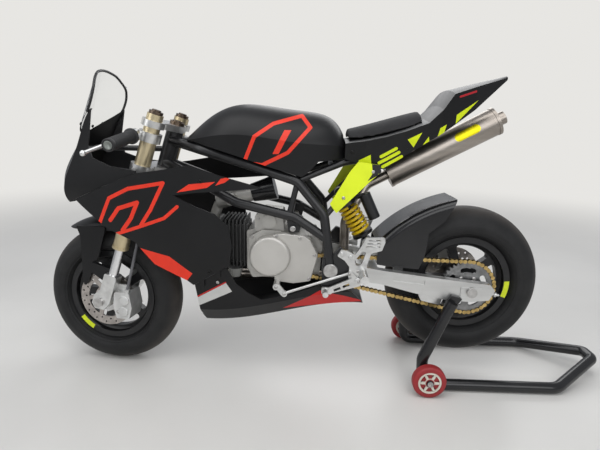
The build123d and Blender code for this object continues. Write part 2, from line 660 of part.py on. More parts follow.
def hood_body(sections, narrow, inset, straight=False):
    """A domed cover lofted along x, whose inner form runs out through its open underside."""
    faces = []
    last = len(sections) - 1
    for number, (x, half, low, shoulder, top) in enumerate(sections):
        w = half - inset
        drop = 12 if inset else 0
        if inset and number in (0, last):
            x += inset if number == 0 else -inset
        arc = ThreePointArc((-w, shoulder), (0, top - inset), (w, shoulder))
        rest = Polyline((w, shoulder), (w * narrow, low - drop), (-w * narrow, low - drop), (-w, shoulder))
        faces.append(Pos(x, 0, 0) * (Plane.YZ * make_face([arc, rest])))
    return loft(faces, ruled=straight)


tank_trim = side_plate([(250, 690), *TANK_LOW_EDGE, (700, 652), (700, 820), (250, 820)], -200, 200)
tank_shell = hood_body(TANK_SECTIONS, 0.94, 0) - hood_body(TANK_SECTIONS, 0.94, PANEL_T)
keep("tank_cover", tank_shell & tank_trim)

# Tail unit: as x, half width, low z, edge z, top z
TAIL_SECTIONS = (
    (693, 96, 652, 694, 704),
    (745, 108, 634, 702, 712),
    (798, 112, 628, 714, 724),
    (850, 113, 664, 730, 740),
    (907, 111, 701, 752, 762),
    (942, 107, 722, 786, 798),
    (970, 99, 741, 826, 840),
    (1037, 70, 788, 848, 857),
    (1133, 14, 870, 876, 881),
)
TAIL_BOSS = (860.0, 687.0)
tail_solid = hood_body(TAIL_SECTIONS, 0.9, 0, True)
tail = tail_solid - hood_body(TAIL_SECTIONS[:-1], 0.9, PANEL_T, True)
for side in SIDES:
    boss = disc(TAIL_BOSS[0], TAIL_BOSS[1], 5, side * (66 + 9 + SEAT_GAP), side * 120)
    tail += boss & hood_body(TAIL_SECTIONS, 0.9, 1, True)
keep("tail_unit", tail)

# Seat pad on top of the tail unit, as x, half width, low z, top z
pad_faces = []
for x, half, low, top in ((697, 74, 690, 729), (760, 86, 700, 746), (832, 88, 720, 768), (902, 80, 746, 788)):
    arc = ThreePointArc((-half, low + 12), (0, top), (half, low + 12))
    rest = Polyline((half, low + 12), (half, low), (-half, low), (-half, low + 12))
    pad_faces.append(Pos(x, 0, 0) * (Plane.YZ * make_face([arc, rest])))
keep("seat_pad", loft(pad_faces) - Pos(0, 0, SEAT_GAP) * tail_solid)

# Head tube round the steering stem, with the stay that carries the nose fairing
HEAD_R = 24.0
STAY_R = 8.0
STAY_Z = 663.0
STAY_BAR_X = -30.0
head = Pos(STEM_BEHIND_FORK, 0, LOW_CLAMP_AT + LOW_CLAMP_T + SEAT_GAP) * Cylinder(
    HEAD_R, TOP_CLAMP_AT - LOW_CLAMP_AT - LOW_CLAMP_T - 2 * SEAT_GAP, align=UP)
head_bore = FORK * (Pos(STEM_BEHIND_FORK, 0, LOW_CLAMP_AT) * Cylinder(STEM_R + RUNNING, 400))
head_hull = FORK * (Pos(STEM_BEHIND_FORK, 0, LOW_CLAMP_AT) * Cylinder(HEAD_R, 180, align=UP))
head = FORK * head + rod((STAY_BAR_X, 0, STAY_Z), (176, 0, STAY_Z), STAY_R)
crossbar = rod((STAY_BAR_X, -130, STAY_Z), (STAY_BAR_X, 130, STAY_Z), STAY_R - 2)
head += crossbar & nose_body(PANEL_T + SEAT_GAP)
keep("head_tube", head - head_bore)

# Frame sides: two bent tubes from the head, a brace between them and the plate for the arm's pivot
PLATE_IN = 119.0
PLATE_OUT = 134.0
PIVOT_TUBE_Y = 131.0
BRACE_R = 8.0
ENGINE_BOLT = (556.0, 459.0)
ENGINE_TAB_Y = (96.0, 103.0)
ENGINE_TAB = [(536, 500), (586, 494), (574, 448), (544, 446)]
PIVOT_HEAD_R = 20.0
HEAD_TOP = bike_point((STEM_BEHIND_FORK, 0, TOP_CLAMP_AT - 28))
HEAD_LOW = bike_point((STEM_BEHIND_FORK, 0, LOW_CLAMP_AT + LOW_CLAMP_T + 16))
UPPER_TUBE = (
    (300, 84, 668), (431, 98, 632), (566, 104, 590), (641, 120, 504), (PIVOT_X, PIVOT_TUBE_Y, PIVOT_Z))
LOWER_TUBE = ((400, 105, 528), (561, 108, 492), (645, 122, 440))
PIVOT_PLATE = [
    (640, 284), (664, 278), (706, 318), (726, 344), (712, 380), (704, 410), (688, 416), (668, 392),
    (640, 384),
]
sides = {}
for side, name in ((-1, "left"), (1, "right")):
    upper = [(HEAD_TOP[0], side * 12, HEAD_TOP[2])] + [(x, side * y, z) for x, y, z in UPPER_TUBE]
    lower = [(HEAD_LOW[0], side * 12, HEAD_LOW[2])] + [(x, side * y, z) for x, y, z in LOWER_TUBE]
    half = tube(upper, FRAME_TUBE_R, 45) + tube(lower, FRAME_TUBE_R, 45)
    half += rod((566, side * 104, 585), (546, side * 106, 500), BRACE_R)
    half += side_plate(PIVOT_PLATE, side * PLATE_IN, side * PLATE_OUT, 6)
    half += disc(BELLY_BOLT[0], BELLY_BOLT[1], 9, side * PLATE_IN, side * 104)
    half += side_plate(ENGINE_TAB, side * ENGINE_TAB_Y[0], side * ENGINE_TAB_Y[1], 5)
    half += disc(ENGINE_BOLT[0], ENGINE_BOLT[1], 9, side * ENGINE_TAB_Y[1], side * (ENGINE_TAB_Y[1] + 6))
    half -= disc(PIVOT_X, PIVOT_Z, AXLE_R + RUNNING, -150, 150)
    half -= disc(PIVOT_X, PIVOT_Z, PIVOT_HEAD_R + SEAT_GAP, side * PLATE_OUT, side * 150)
    half = half - head_hull - belly_body(-SEAT_GAP)
    sides[side] = half.solids().sort_by(SortBy.VOLUME)[-1]
    keep("frame_" + name + "_side", sides[side])
cross_tubes = []
for x, z, reach in ((566, 590, 104), (546, 495, 106)):
    cross = rod((x, -reach, z), (x, reach, z), 10) - sides[-1] - sides[1]
    cross_tubes.append(cross.solids().sort_by(SortBy.VOLUME)[-1])
keep("frame_cross_tubes", *cross_tubes)

# Subframe under the seat: rails, struts and cross tubes, welded to the frame
RAIL_R = 9.0
STRUT_R = 7.5
SHOCK_BAR = (688.0, 547.0)
rail_points = [(562, 99, 590), (690, 68, 640), (800, 66, 662), (900, 66, 704)]
strut_points = [(648, 106, 500), (700, 84, 560), (790, 66, 652)]
subframe = rod((660, -70, 628), (660, 70, 628), STAY_R)
for side in SIDES:
    subframe += tube([(x, side * y, z) for x, y, z in rail_points], RAIL_R, 60)
    subframe += tube([(x, side * y, z) for x, y, z in strut_points], STRUT_R, 60)
for x, z in ((798, 662), (898, 703)):
    subframe += rod((x, -66, z), (x, 66, z), STAY_R)
subframe += rod((SHOCK_BAR[0], -88, SHOCK_BAR[1]), (SHOCK_BAR[0], 88, SHOCK_BAR[1]), STAY_R)
subframe = subframe - sides[-1] - sides[1] - cross_tubes[0]
subframe = subframe.solids().sort_by(SortBy.VOLUME)[-1]
keep("subframe", subframe)

# Yellow side panels over the struts, on two stand-offs each
PANEL_IN = 110.0
PANEL_OUT = 116.0
STRUT_PANEL = [(656, 532), (674, 507), (765, 600), (790, 622), (785, 640), (728, 648), (706, 620)]
panels = []
for side in SIDES:
    panel = side_plate(STRUT_PANEL, side * PANEL_IN, side * PANEL_OUT, 3)
    for x, z, foot_y in ((692, 550, 84), (768, 622, 66)):
        panel += disc(x, z, 5, side * foot_y, side * (PANEL_IN + 1))
    panel = panel - subframe - tail_solid
    panels.append(panel.solids().sort_by(SortBy.VOLUME)[-1])
keep("strut_panels", *panels)

# Crankcase: the main castings, the starter housing on top, lugs to the frame and the sprocket shaft
CASE_IN_Y = 64.0
CASE_FRONT_X = 422.0
crankcase = side_plate(
    [(CASE_FRONT_X, 440), (466, 452), (520, 448), (560, 430), (622, 430), (640, 396), (634, 316), (560, 300),
     (440, 302), (CASE_FRONT_X, 326)], -CASE_IN_Y, ENGINE_HALF, 5)
crankcase += side_plate(
    [(432, 428), (470, 448), (520, 446), (544, 420), (544, 316), (440, 306), (426, 340)],
    -BOSS_OUT, 1 - CASE_IN_Y, 8)
crankcase += side_plate([(446, 440), (446, 486), (468, 498), (524, 494), (532, 440)], -72, 40, 8)
crankcase += disc(487, 470, 20, -72, -78)
for side in SIDES:
    crankcase += disc(ENGINE_BOLT[0], ENGINE_BOLT[1], 12, side * 40, side * (ENGINE_TAB_Y[0] - SEAT_GAP))
crankcase += block(530, 574, -60, 60, 426, 460)
crankcase += disc(FRONT_SPROCKET_X, FRONT_SPROCKET_Z, SHAFT_R, 1 - CASE_IN_Y, -82)
crankcase += disc(FRONT_SPROCKET_X, FRONT_SPROCKET_Z, 14, -CHAIN_Y - SPROCKET_T / 2 - SEAT_GAP, -83)
crankcase += disc(FRONT_SPROCKET_X, FRONT_SPROCKET_Z, 14, -CASE_IN_Y, -CHAIN_Y + SPROCKET_T / 2 + SEAT_GAP)
keep("crankcase", crankcase)

# Engine covers: round generator cover over the sprocket cover on the left, clutch cover on the right
COVER_OUT = 108.0
generator_cover = dome(COVER_X, COVER_Z, COVER_R, -BOSS_OUT - SEAT_GAP, -118, 9)
SPROCKET_COVER = [
    (500, 440), (528, 444), (588, 440), (606, 428), (628, 384), (624, 362), (608, 306), (560, 298),
    (506, 304),
]
cover = side_plate(SPROCKET_COVER, -COVER_OUT, -BOSS_OUT - SEAT_GAP, 7)
cover = fillet(cover.faces().sort_by(Axis.Y)[0].edges(), 4)
cover -= disc(COVER_X, COVER_Z, COVER_R + SEAT_GAP, -130, -60)
cover = cover.solids().sort_by(SortBy.VOLUME)[-1]
clutch_cover = dome(500, 370, 72, ENGINE_HALF + SEAT_GAP, 112, 12)
keep("engine_covers", clutch_cover, generator_cover, cover)

# Cylinder lying forward with upright fins, its head with the plug, and the strainer cap below
FIN_STEP = 11.0
FIN_T = 4.0
cylinder = block(338, CASE_FRONT_X - SEAT_GAP, -46, 46, 342, 452)
for number in range(7):
    fin_x = 346 + FIN_STEP * number
    cylinder += block(fin_x, fin_x + FIN_T, -60, 60, 330, 468)
cap = Plane(origin=(384, -40, 329.7), z_dir=(0, 0, -1)) * Cone(24, 15, 36, align=UP)
keep("cylinder", cylinder, cap)
head_block = fillet(block(288, 338 - SEAT_GAP, -56, 56, 338, 462).edges().filter_by(Axis.Y), 8)
head_block += rod((314, -50, 402), (306, -82, 410), 8)
for number in range(3):
    fin_x = 298 + FIN_STEP * number
    head_block += block(fin_x, fin_x + FIN_T, -64, 64, 346, 456)
keep("cylinder_head", head_block)

# Intake: manifold and carburettor above the cylinder, and a cone filter
CARB_FROM = (326, 0, 512)
CARB_TO = (430, 0, 540)
manifold = rod((314, 0, 462 + SEAT_GAP), (330, 0, 506), 15)
carburettor = manifold + rod(CARB_FROM, CARB_TO, 24) + disc(372, 524, 17, -40, 40)
carburettor -= block(280, 360, -30, 30, 440, 462 + SEAT_GAP)
keep("carburettor", carburettor)
flow = (Vector(*CARB_TO) - Vector(*CARB_FROM)).normalized()
filter_from = Vector(*CARB_TO) + flow * SEAT_GAP
air_filter = Plane(origin=tuple(filter_from), z_dir=flow) * Cone(27, 36, 70, align=UP)
keep("air_filter", air_filter)

# Exhaust: from the head down, under the right side and up to the silencer
HEADER_R = 15.0
SILENCER_FROM = (838, 96, 592)
SILENCER_TO = (1160, 104, 762)
header = tube([
    (312, 20, 338 - SEAT_GAP), (312, 20, 276), (380, 66, 264), (712, 66, 264), (712, 62, 450), (776, 94, 559),
    (837.7, 96, 591.8)], HEADER_R, [28, 60, 45, 60, 50])
keep("exhaust_header", header)
silencer_start = Vector(*SILENCER_FROM)
silencer_axis = (Vector(*SILENCER_TO) - silencer_start).normalized()
silencer_length = (Vector(*SILENCER_TO) - silencer_start).length
can_plane = Plane(origin=SILENCER_FROM, z_dir=silencer_axis, x_dir=(0, 1, 0))
silencer = extrude(can_plane * Ellipse(36, 42), amount=silencer_length)
for at in (0, silencer_length - 9):
    ring_at = tuple(silencer_start + silencer_axis * at)
    ring_plane = Plane(origin=ring_at, z_dir=silencer_axis, x_dir=(0, 1, 0))
    silencer += extrude(ring_plane * Ellipse(37.5, 43.5), amount=9)
outlet = tuple(silencer_start + silencer_axis * (silencer_length - 2))
silencer += rod(outlet, tuple(silencer_start + silencer_axis * (silencer_length + 24)), 20)
outlet_bore = rod(
    tuple(silencer_start + silencer_axis * (silencer_length - 40)),
    tuple(silencer_start + silencer_axis * (silencer_length + 30)), 17)
hanger = block(886, 914, 66 + RAIL_R + SEAT_GAP, 66 + RAIL_R + SEAT_GAP + 4, 640, 714)
keep("silencer", silencer + hanger - outlet_bore)

# Shock absorber: eyes on the frame's bar and the arm's pin, a coil spring between its collars
SHOCK_LOW = (775.0, 403.0)
EYE_R = 13.0
PIN_R = 6.0
SPRING_FROM = 30.0
SPRING_TO = 126.0
SPRING_R = 26.0
WIRE_R = 4.6
SPRING_TURNS = 6.5
low_eye = Vector(SHOCK_LOW[0], 0, SHOCK_LOW[1])
high_eye = Vector(SHOCK_BAR[0], 0, SHOCK_BAR[1])
shock_way = (high_eye - low_eye).normalized()


def on_shock(distance):
    """The point of the shock's axis at a distance from its lower eye."""
    return tuple(low_eye + shock_way * distance)


shock_length = (high_eye - low_eye).length
COLLAR_R = SPRING_R + WIRE_R + 1
shock = rod(on_shock(0), on_shock(shock_length), 9)
shock += rod(on_shock(SPRING_FROM - 8), on_shock(SPRING_FROM), COLLAR_R)
shock += rod(on_shock(SPRING_TO), on_shock(SPRING_TO + 12), COLLAR_R)
shock += rod(on_shock(SPRING_TO), on_shock(shock_length - 12), 19)
shock += disc(SHOCK_LOW[0], SHOCK_LOW[1], EYE_R, -12, 12)
shock += disc(SHOCK_BAR[0], SHOCK_BAR[1], EYE_R + 3, -12, 12)
reservoir_low = (790, -32, 480)
reservoir_high = (757, -32, 549)
shock += rod(reservoir_low, reservoir_high, 17)
shock += rod(on_shock(SPRING_TO + 16), (758, -30, 546), 7)
shock -= disc(SHOCK_LOW[0], SHOCK_LOW[1], PIN_R + RUNNING, -20, 20)
shock -= disc(SHOCK_BAR[0], SHOCK_BAR[1], STAY_R + RUNNING, -20, 20)
keep("shock_absorber", shock)
coil_from = SPRING_FROM + WIRE_R + SEAT_GAP
coil_height = SPRING_TO - SPRING_FROM - 2 * WIRE_R - 2 * SEAT_GAP
coil_path = Helix(pitch=coil_height / SPRING_TURNS, height=coil_height, radius=SPRING_R)
coil_start = Plane(origin=coil_path @ 0, z_dir=coil_path % 0)
coil = sweep(coil_start * Circle(WIRE_R), path=coil_path, is_frenet=True)
shock_plane = Plane(origin=on_shock(coil_from), z_dir=shock_way, x_dir=(0, 1, 0))
keep("shock_spring", shock_plane * coil)

# Swingarm: two deep arms on the pivot tube, a bridge with the shock's ears, and axle adjusters
ARM_OUTLINE = [
    (640, 372), (700, 364), (817, 346), (939, 332), (1063, 318), (1112, 314), (1126, 297), (1112, 268),
    (1060, 262), (992, 266), (900, 284), (813, 306), (700, 322), (640, 328),
]
ADJUSTER_Y = (ARM_IN_Y + ARM_OUT_Y) / 2
left_arm = side_plate(ARM_OUTLINE, -ARM_OUT_Y, -ARM_IN_Y, 6)
ADJUSTER = [(1030, 306), (1092, 302), (1100, 290), (1092, 278), (1030, 278)]
left_arm += side_plate(ADJUSTER, -ARM_OUT_Y - 3, -ARM_OUT_Y + 1, 4)
left_arm += rod((1110, -ADJUSTER_Y, 284), (1143, -ADJUSTER_Y, 280), 3.5)
left_arm += rod((1128, -ADJUSTER_Y, 281.8), (1134, -ADJUSTER_Y, 281.1), 7)
ARM_WINDOW = [(840, 334), (930, 321), (930, 309), (840, 318)]
left_arm -= side_plate(ARM_WINDOW, -ARM_OUT_Y - 1, 4 - ARM_OUT_Y, 3)
SHOCK_EAR = [(752, 340), (798, 340), (790, 408), (780, 417), (768, 415), (760, 404)]
swingarm = left_arm + mirrored(left_arm)
swingarm += block(742, 800, -ARM_IN_Y - 5, ARM_IN_Y + 5, 322, 346)
for side in SIDES:
    swingarm += side_plate(SHOCK_EAR, side * (12 + SEAT_GAP), side * 19, 3)
swingarm += disc(SHOCK_LOW[0], SHOCK_LOW[1], PIN_R, -24, 24)
swingarm += rod((PIVOT_X, -ARM_IN_Y - 2, PIVOT_Z), (PIVOT_X, ARM_IN_Y + 2, PIVOT_Z), 15)
swingarm -= disc(PIVOT_X, PIVOT_Z, AXLE_R + RUNNING, -200, 200)
swingarm -= disc(REAR_AXLE_X, REAR_AXLE_Z, AXLE_R + RUNNING, -200, 200)
keep("swingarm", swingarm)
pivot_bolt = disc(PIVOT_X, PIVOT_Z, AXLE_R, -140, 140)
for side in SIDES:
    head_from = side * (PLATE_OUT + SEAT_GAP)
    pivot_bolt += dome(PIVOT_X, PIVOT_Z, PIVOT_HEAD_R, head_from, side * (PLATE_OUT + 9), 3)
keep("pivot_bolt", pivot_bolt)
rear_axle = disc(REAR_AXLE_X, REAR_AXLE_Z, AXLE_R, -128, 128)
for side in SIDES:
    rear_axle += disc(REAR_AXLE_X, REAR_AXLE_Z, 14, side * (ARM_OUT_Y + 3 + SEAT_GAP), side * 127)
rear_axle += disc(REAR_AXLE_X, REAR_AXLE_Z, 13, SEAT_GAP - ARM_IN_Y, -CHAIN_Y - SPROCKET_T / 2 - SEAT_GAP)
rear_axle += disc(REAR_AXLE_X, REAR_AXLE_Z, 13, REAR_DISC_Y + DISC_T / 2 + SEAT_GAP, ARM_IN_Y - SEAT_GAP)
keep("rear_axle", rear_axle)

# Hugger over the rear tyre: a long hood with rounded shoulders, its left side covering the chain
HUGGER_LEFT = -88.0
HUGGER_RIGHT = 70.0
HUGGER_SHOULDER = 20.0
HUGGER_RIDGE = ((796.0, 418.0), (905.0, 506.0), (1038.0, 552.0))


def hugger_body(inset):
    """The space under the hugger's surface moved in by inset, its inner form open at both ends."""
    (x_one, z_one), (x_two, z_two), (x_three, z_three) = HUGGER_RIDGE
    ends = 6 * inset
    start = (x_one - ends, z_one - inset - ends)
    stop = (x_three + ends, z_three - inset + ends * 0.2)
    arc = ThreePointArc(start, (x_two + inset * 0.6, z_two - inset * 0.8), stop)
    rest = Polyline(stop, (stop[0], 300), (start[0], 300), start)
    y_from = HUGGER_LEFT + inset
    face = Pos(0, y_from, 0) * (Plane.XZ * make_face([arc, rest]))
    body = extrude(face, amount=HUGGER_RIGHT - inset - y_from, dir=(0, 1, 0))
    ridges = body.edges().filter_by(GeomType.CIRCLE)
    return fillet(ridges, HUGGER_SHOULDER - inset)


hugger_shell = hugger_body(0) - hugger_body(PANEL_T)
hugger_left = side_plate(
    [(770, 398), (770, 600), (1060, 600), (1012, 549), (977, 485), (936, 450), (932, 398)], -100, 0)
hugger_left += side_plate(
    [(794, 402), (932, 402), (929, 380), (915, 345), (822, 352), (794, 356)], -100, HUGGER_LEFT + PANEL_T)
hugger_right = side_plate(
    [(770, 396), (770, 600), (1060, 600), (1012, 549), (950, 488), (900, 440), (886, 396)], 0, 100)
hugger = hugger_shell & (hugger_left + hugger_right)
HUGGER_TAB = [(842, 356), (872, 356), (868, 326), (846, 328)]
hugger += side_plate(HUGGER_TAB, SEAT_GAP - ARM_IN_Y, HUGGER_LEFT + PANEL_T, 3)
hugger += block(864, 880, HUGGER_RIGHT - PANEL_T, ARM_IN_Y - SEAT_GAP, 400, 404)
hugger += block(864, 880, ARM_IN_Y - PANEL_T - SEAT_GAP, ARM_IN_Y - SEAT_GAP, 324, 404)
keep("hugger", hugger)

# Rear caliper on the right, on a hanger ring round the axle spacer
rear_caliper = side_plate([(996, 374), (1044, 386), (1060, 352), (1012, 336)], 50, 86, 5)
rear_caliper += side_plate([(1030, 300), (1070, 306), (1052, 360), (1018, 350)], 76, 82, 4)
rear_caliper += disc(REAR_AXLE_X, REAR_AXLE_Z, 24, 76, 82)
rear_caliper -= disc(REAR_AXLE_X, REAR_AXLE_Z, REAR_DISC_R + 4, REAR_DISC_Y - 5, REAR_DISC_Y + 5)
rear_caliper -= disc(REAR_AXLE_X, REAR_AXLE_Z, 13 + RUNNING, 60, 90)
rear_caliper = rear_caliper.solids().sort_by(SortBy.VOLUME)[-1]
keep("rear_caliper", rear_caliper)

# Chain guide under the left arm
keep("chain_guide", side_plate([(914, 280), (984, 267), (980, 246), (925, 258)], -106, -98, 4))

# Rearsets: a slotted plate each side, bolted to the pivot plate, with a guard for the heel
REARSET_IN = PLATE_OUT + SEAT_GAP
REARSET_OUT = REARSET_IN + 8
PEG = (750.0, 352.0)
LEVER_PIVOT = (740.0, 326.0)
REARSET = [
    (680, 394), (690, 412), (706, 410), (728, 398), (744, 422), (756, 448), (806, 448), (808, 436),
    (800, 412), (772, 404), (762, 372), (762, 340), (748, 314), (732, 314), (712, 334), (714, 364),
    (700, 382),
]
REARSET_HOLE = [(728, 382), (748, 410), (758, 406), (746, 370), (732, 368)]
rearsets = []
for side in SIDES:
    plate = side_plate(REARSET, side * REARSET_IN, side * REARSET_OUT, 3)
    for number in range(3):
        z = 420 + 9 * number
        slot = [(756 + number * 3, z), (794, z), (796, z + 4), (757 + number * 3, z + 4)]
        plate -= side_plate(slot, side * 130, side * 150, 1.8)
    plate -= side_plate(REARSET_HOLE, side * 130, side * 150, 3)
    for x, z in ((692, 400), (716, 392)):
        plate += dome(x, z, 6, side * (REARSET_OUT - 1), side * (REARSET_OUT + 4), 2)
    rearsets.append(plate)
keep("rearsets", *rearsets)

# Foot pegs with turned grooves
PEG_R = 11.0
PEG_END = 214.0
pegs = []
for side in SIDES:
    peg = disc(PEG[0], PEG[1], PEG_R, side * (REARSET_OUT + SEAT_GAP), side * PEG_END)
    for number in range(5):
        groove_y = side * (160 + 10 * number)
        peg -= disc(PEG[0], PEG[1], PEG_R + 1, groove_y, groove_y + side * 4, PEG_R - 1.5)
    pegs.append(peg)
keep("foot_pegs", *pegs)

# Foot levers: the shift lever with its rod and shaft arm on the left, the brake pedal on the right
LEVER_IN = REARSET_OUT + SEAT_GAP
LEVER_OUT = LEVER_IN + 7
LEVER_BAR = [(658, 304), (730, 338), (752, 330), (744, 312), (664, 288)]
LEVER_SLOTS = (((672, 300), (690, 308)), ((696, 311), (714, 319)))
LEVER_TOE = [(640, 305), (668, 305), (668, 286), (640, 286)]
SHIFT_SHAFT = (514.0, 302.0)
foot_levers = []
for side in SIDES:
    lever = side_plate(LEVER_BAR, side * LEVER_IN, side * LEVER_OUT, 3)
    for (x_one, z_one), (x_two, z_two) in LEVER_SLOTS:
        slot = [(x_one, z_one), (x_two, z_two), (x_two + 3, z_two - 6), (x_one + 3, z_one - 6)]
        lever -= side_plate(slot, side * (LEVER_IN - 2), side * (LEVER_OUT + 2), 1.5)
    lever += side_plate(LEVER_TOE, side * LEVER_IN, side * LEVER_OUT, 4)
    lever += disc(650, 295, 8, side * LEVER_IN, side * 180)
    lever += dome(LEVER_PIVOT[0], LEVER_PIVOT[1], 10, side * LEVER_IN, side * (LEVER_OUT + 5), 2)
    if side < 0:
        lever += side_plate([(708, 352), (720, 354), (742, 330), (730, 322)], -LEVER_IN, -LEVER_OUT, 4)
        lever += rod((535, -LEVER_IN - 4, 283), (714, -LEVER_IN - 4, 347), 3.5)
        lever += side_plate([(506, 308), (522, 310), (544, 284), (530, 276)], -LEVER_IN, -LEVER_OUT, 4)
        lever += disc(SHIFT_SHAFT[0], SHIFT_SHAFT[1], 9, -LEVER_OUT, -COVER_OUT - SEAT_GAP)
        lever += disc(537, 283, 8, -LEVER_OUT - 3, -LEVER_IN)
    foot_levers.append(lever)
keep("foot_levers", *foot_levers)

# Stand: one bent tube, from the left upright round the tail to the right one, with axle stubs and hooks
STUB_R = 10.0
STUB_END = STAND_WHEEL_Y + STAND_WHEEL_W / 2 + 5
left_run = [
    (STAND_TOP[0], -STAND_Y, STAND_TOP[1]), (934, -STAND_Y, 96), (938, -STAND_Y, STAND_TUBE_R),
    (STAND_CORNER_X, -STAND_Y, STAND_TUBE_R), (STAND_TAIL_X, -STAND_TAIL_Y, STAND_TAIL_Z),
]
right_run = [(x, -y, z) for x, y, z in reversed(left_run)]
stand = tube(left_run + right_run, STAND_TUBE_R, [40, 30, 60, 22, 22, 60, 30, 40])
HOOK = [(988, 262), (1004, 284), (1034, 276), (1026, 262), (1006, 244)]
for side in SIDES:
    near = side * (STAND_WHEEL_Y - STAND_WHEEL_W / 2 - SEAT_GAP)
    stand += disc(STAND_WHEEL_X, STAND_WHEEL_R, STUB_R, side * STAND_Y, near)
    stand += disc(STAND_WHEEL_X, STAND_WHEEL_R, STAND_AXLE_R, side * STAND_Y, side * STUB_END)
    stand += dome(STAND_WHEEL_X, STAND_WHEEL_R, STUB_R,
                  side * (STAND_WHEEL_Y + STAND_WHEEL_W / 2 + SEAT_GAP), side * STUB_END, 2)
    stand += side_plate(HOOK, side * (ARM_OUT_Y + 4), side * (STAND_Y - STAND_TUBE_R + 4), 3)
keep("stand_tube", stand)
PAD_R = 12.0
pads = [disc(STAND_TOP[0], 253, PAD_R, side * 92, side * (ARM_OUT_Y + 4 - SEAT_GAP)) for side in SIDES]
keep("stand_pads", *pads)
for side, name in ((-1, "left"), (1, "right")):
    y_low = side * STAND_WHEEL_Y - STAND_WHEEL_W / 2
    y_high = y_low + STAND_WHEEL_W
    wheel = dome(STAND_WHEEL_X, STAND_WHEEL_R, STAND_WHEEL_R, (y_low + y_high) / 2, y_low, 7)
    wheel += dome(STAND_WHEEL_X, STAND_WHEEL_R, STAND_WHEEL_R, (y_low + y_high) / 2, y_high, 7)
    for y_face, y_floor in ((y_low - 1, y_low + 4), (y_high + 1, y_high - 4)):
        wheel -= disc(STAND_WHEEL_X, STAND_WHEEL_R, 33, y_face, y_floor, 12)
    for number in range(6):
        angle = math.radians(60 * number)
        wheel -= disc(STAND_WHEEL_X + 22 * math.cos(angle), STAND_WHEEL_R + 22 * math.sin(angle), 6,
                      y_low - 1, y_high + 1)
    keep(name + "_stand_wheel", wheel - disc(
        STAND_WHEEL_X, STAND_WHEEL_R, STAND_AXLE_R + RUNNING, y_low - 1, y_high + 1))

# Each node goes to its own file, moved so that the origin is on the floor under the middle
os.makedirs("parts", exist_ok=True)
for name, solids in parts.items():
    shape = Compound(children=list(solids)) if len(solids) > 1 else solids[0]
    export_step(Pos(-ORIGIN_X, 0, 0) * shape, os.path.join("parts", name + ".step"))
print(len(parts), "nodes, origin at x", round(ORIGIN_X, 2), "behind the front axle")
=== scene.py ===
import bpy
import bmesh
import json
import math
from mathutils import Matrix, Vector
from mathutils.bvhtree import BVHTree


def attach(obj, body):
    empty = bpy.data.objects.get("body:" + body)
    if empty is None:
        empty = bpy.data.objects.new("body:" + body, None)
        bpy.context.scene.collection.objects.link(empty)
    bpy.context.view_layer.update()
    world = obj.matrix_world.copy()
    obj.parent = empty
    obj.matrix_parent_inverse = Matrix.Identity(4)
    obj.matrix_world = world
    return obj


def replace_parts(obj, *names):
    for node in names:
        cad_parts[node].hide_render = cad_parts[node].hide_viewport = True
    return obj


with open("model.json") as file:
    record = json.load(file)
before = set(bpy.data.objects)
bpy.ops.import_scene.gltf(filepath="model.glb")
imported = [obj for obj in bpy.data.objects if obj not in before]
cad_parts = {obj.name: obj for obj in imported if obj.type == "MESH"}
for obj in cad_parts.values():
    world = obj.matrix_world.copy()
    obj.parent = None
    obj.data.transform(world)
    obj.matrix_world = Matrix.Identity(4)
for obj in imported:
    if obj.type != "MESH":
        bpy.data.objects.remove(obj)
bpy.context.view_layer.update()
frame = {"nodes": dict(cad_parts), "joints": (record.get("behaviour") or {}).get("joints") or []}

nodes = frame["nodes"]

# How far the frame's origin lies behind the front axle, in millimetres
ORIGIN_X = 644.25


def at(x, y, z):
    """A point given in millimetres behind the front axle, to the right and up."""
    return Vector(((x - ORIGIN_X) / 1000, y / 1000, z / 1000))


def joint_line(name):
    """A joint's place and axis, as the frame gives them."""
    joint = next(joint for joint in frame["joints"] if joint["name"] == name)
    return Vector(joint["pos_m"]), Vector(joint["axis"])


# The fork's legs lean back by the rake, and the whole front end is turned about the steering axis as
# photographed. The wheels' hubs and turns hold for the rest pose.
STEER_FOOT, STEER_AXIS = joint_line("steering_turn")
FRONT_HUB, FRONT_TURN = joint_line("front_wheel_spin")
REAR_HUB, REAR_TURN = joint_line("rear_wheel_spin")
STEERED = math.radians(-8)
STEER_TURN = (Matrix.Translation(STEER_FOOT) @ Matrix.Rotation(STEERED, 4, STEER_AXIS)
              @ Matrix.Translation(-STEER_FOOT))
RAKE = math.radians(18)
LEG_FOOT = Vector((14.0, 0.0, 213.5))
LEG_UP = Vector((math.sin(RAKE), 0, math.cos(RAKE)))
LEG_BACK = Vector((LEG_UP.z, 0, -LEG_UP.x))

# Studio: a pale plain floor, a pale surround and large soft lamps from above, the way a bright hall lights
# a bike from its ceiling. The camera stands beside the bike at the photograph's place, with its lens.
CAMERA_PLACE = at(608.90, -1322.42, 752.69)
YAW, PITCH, ROLL = (math.radians(angle) for angle in (-1.56, 13.09, 1.17))
ahead = Vector((math.sin(YAW) * math.cos(PITCH), math.cos(YAW) * math.cos(PITCH), -math.sin(PITCH)))
level = Vector((math.cos(YAW), -math.sin(YAW), 0))
upright = level.cross(ahead)
across = math.cos(ROLL) * level + math.sin(ROLL) * upright
upward = math.cos(ROLL) * upright - math.sin(ROLL) * level
view = bpy.data.cameras.new("side_view")
view.lens = 27.10
view.sensor_width = 36.0
view.clip_end = 60.0
camera = bpy.data.objects.new("side_view", view)
camera.matrix_world = (Matrix.Translation(CAMERA_PLACE)
                       @ Matrix((across, upward, -ahead)).transposed().to_4x4())
bpy.context.scene.collection.objects.link(camera)
bpy.context.scene.camera = camera
bpy.context.scene.view_settings.view_transform = "Standard"

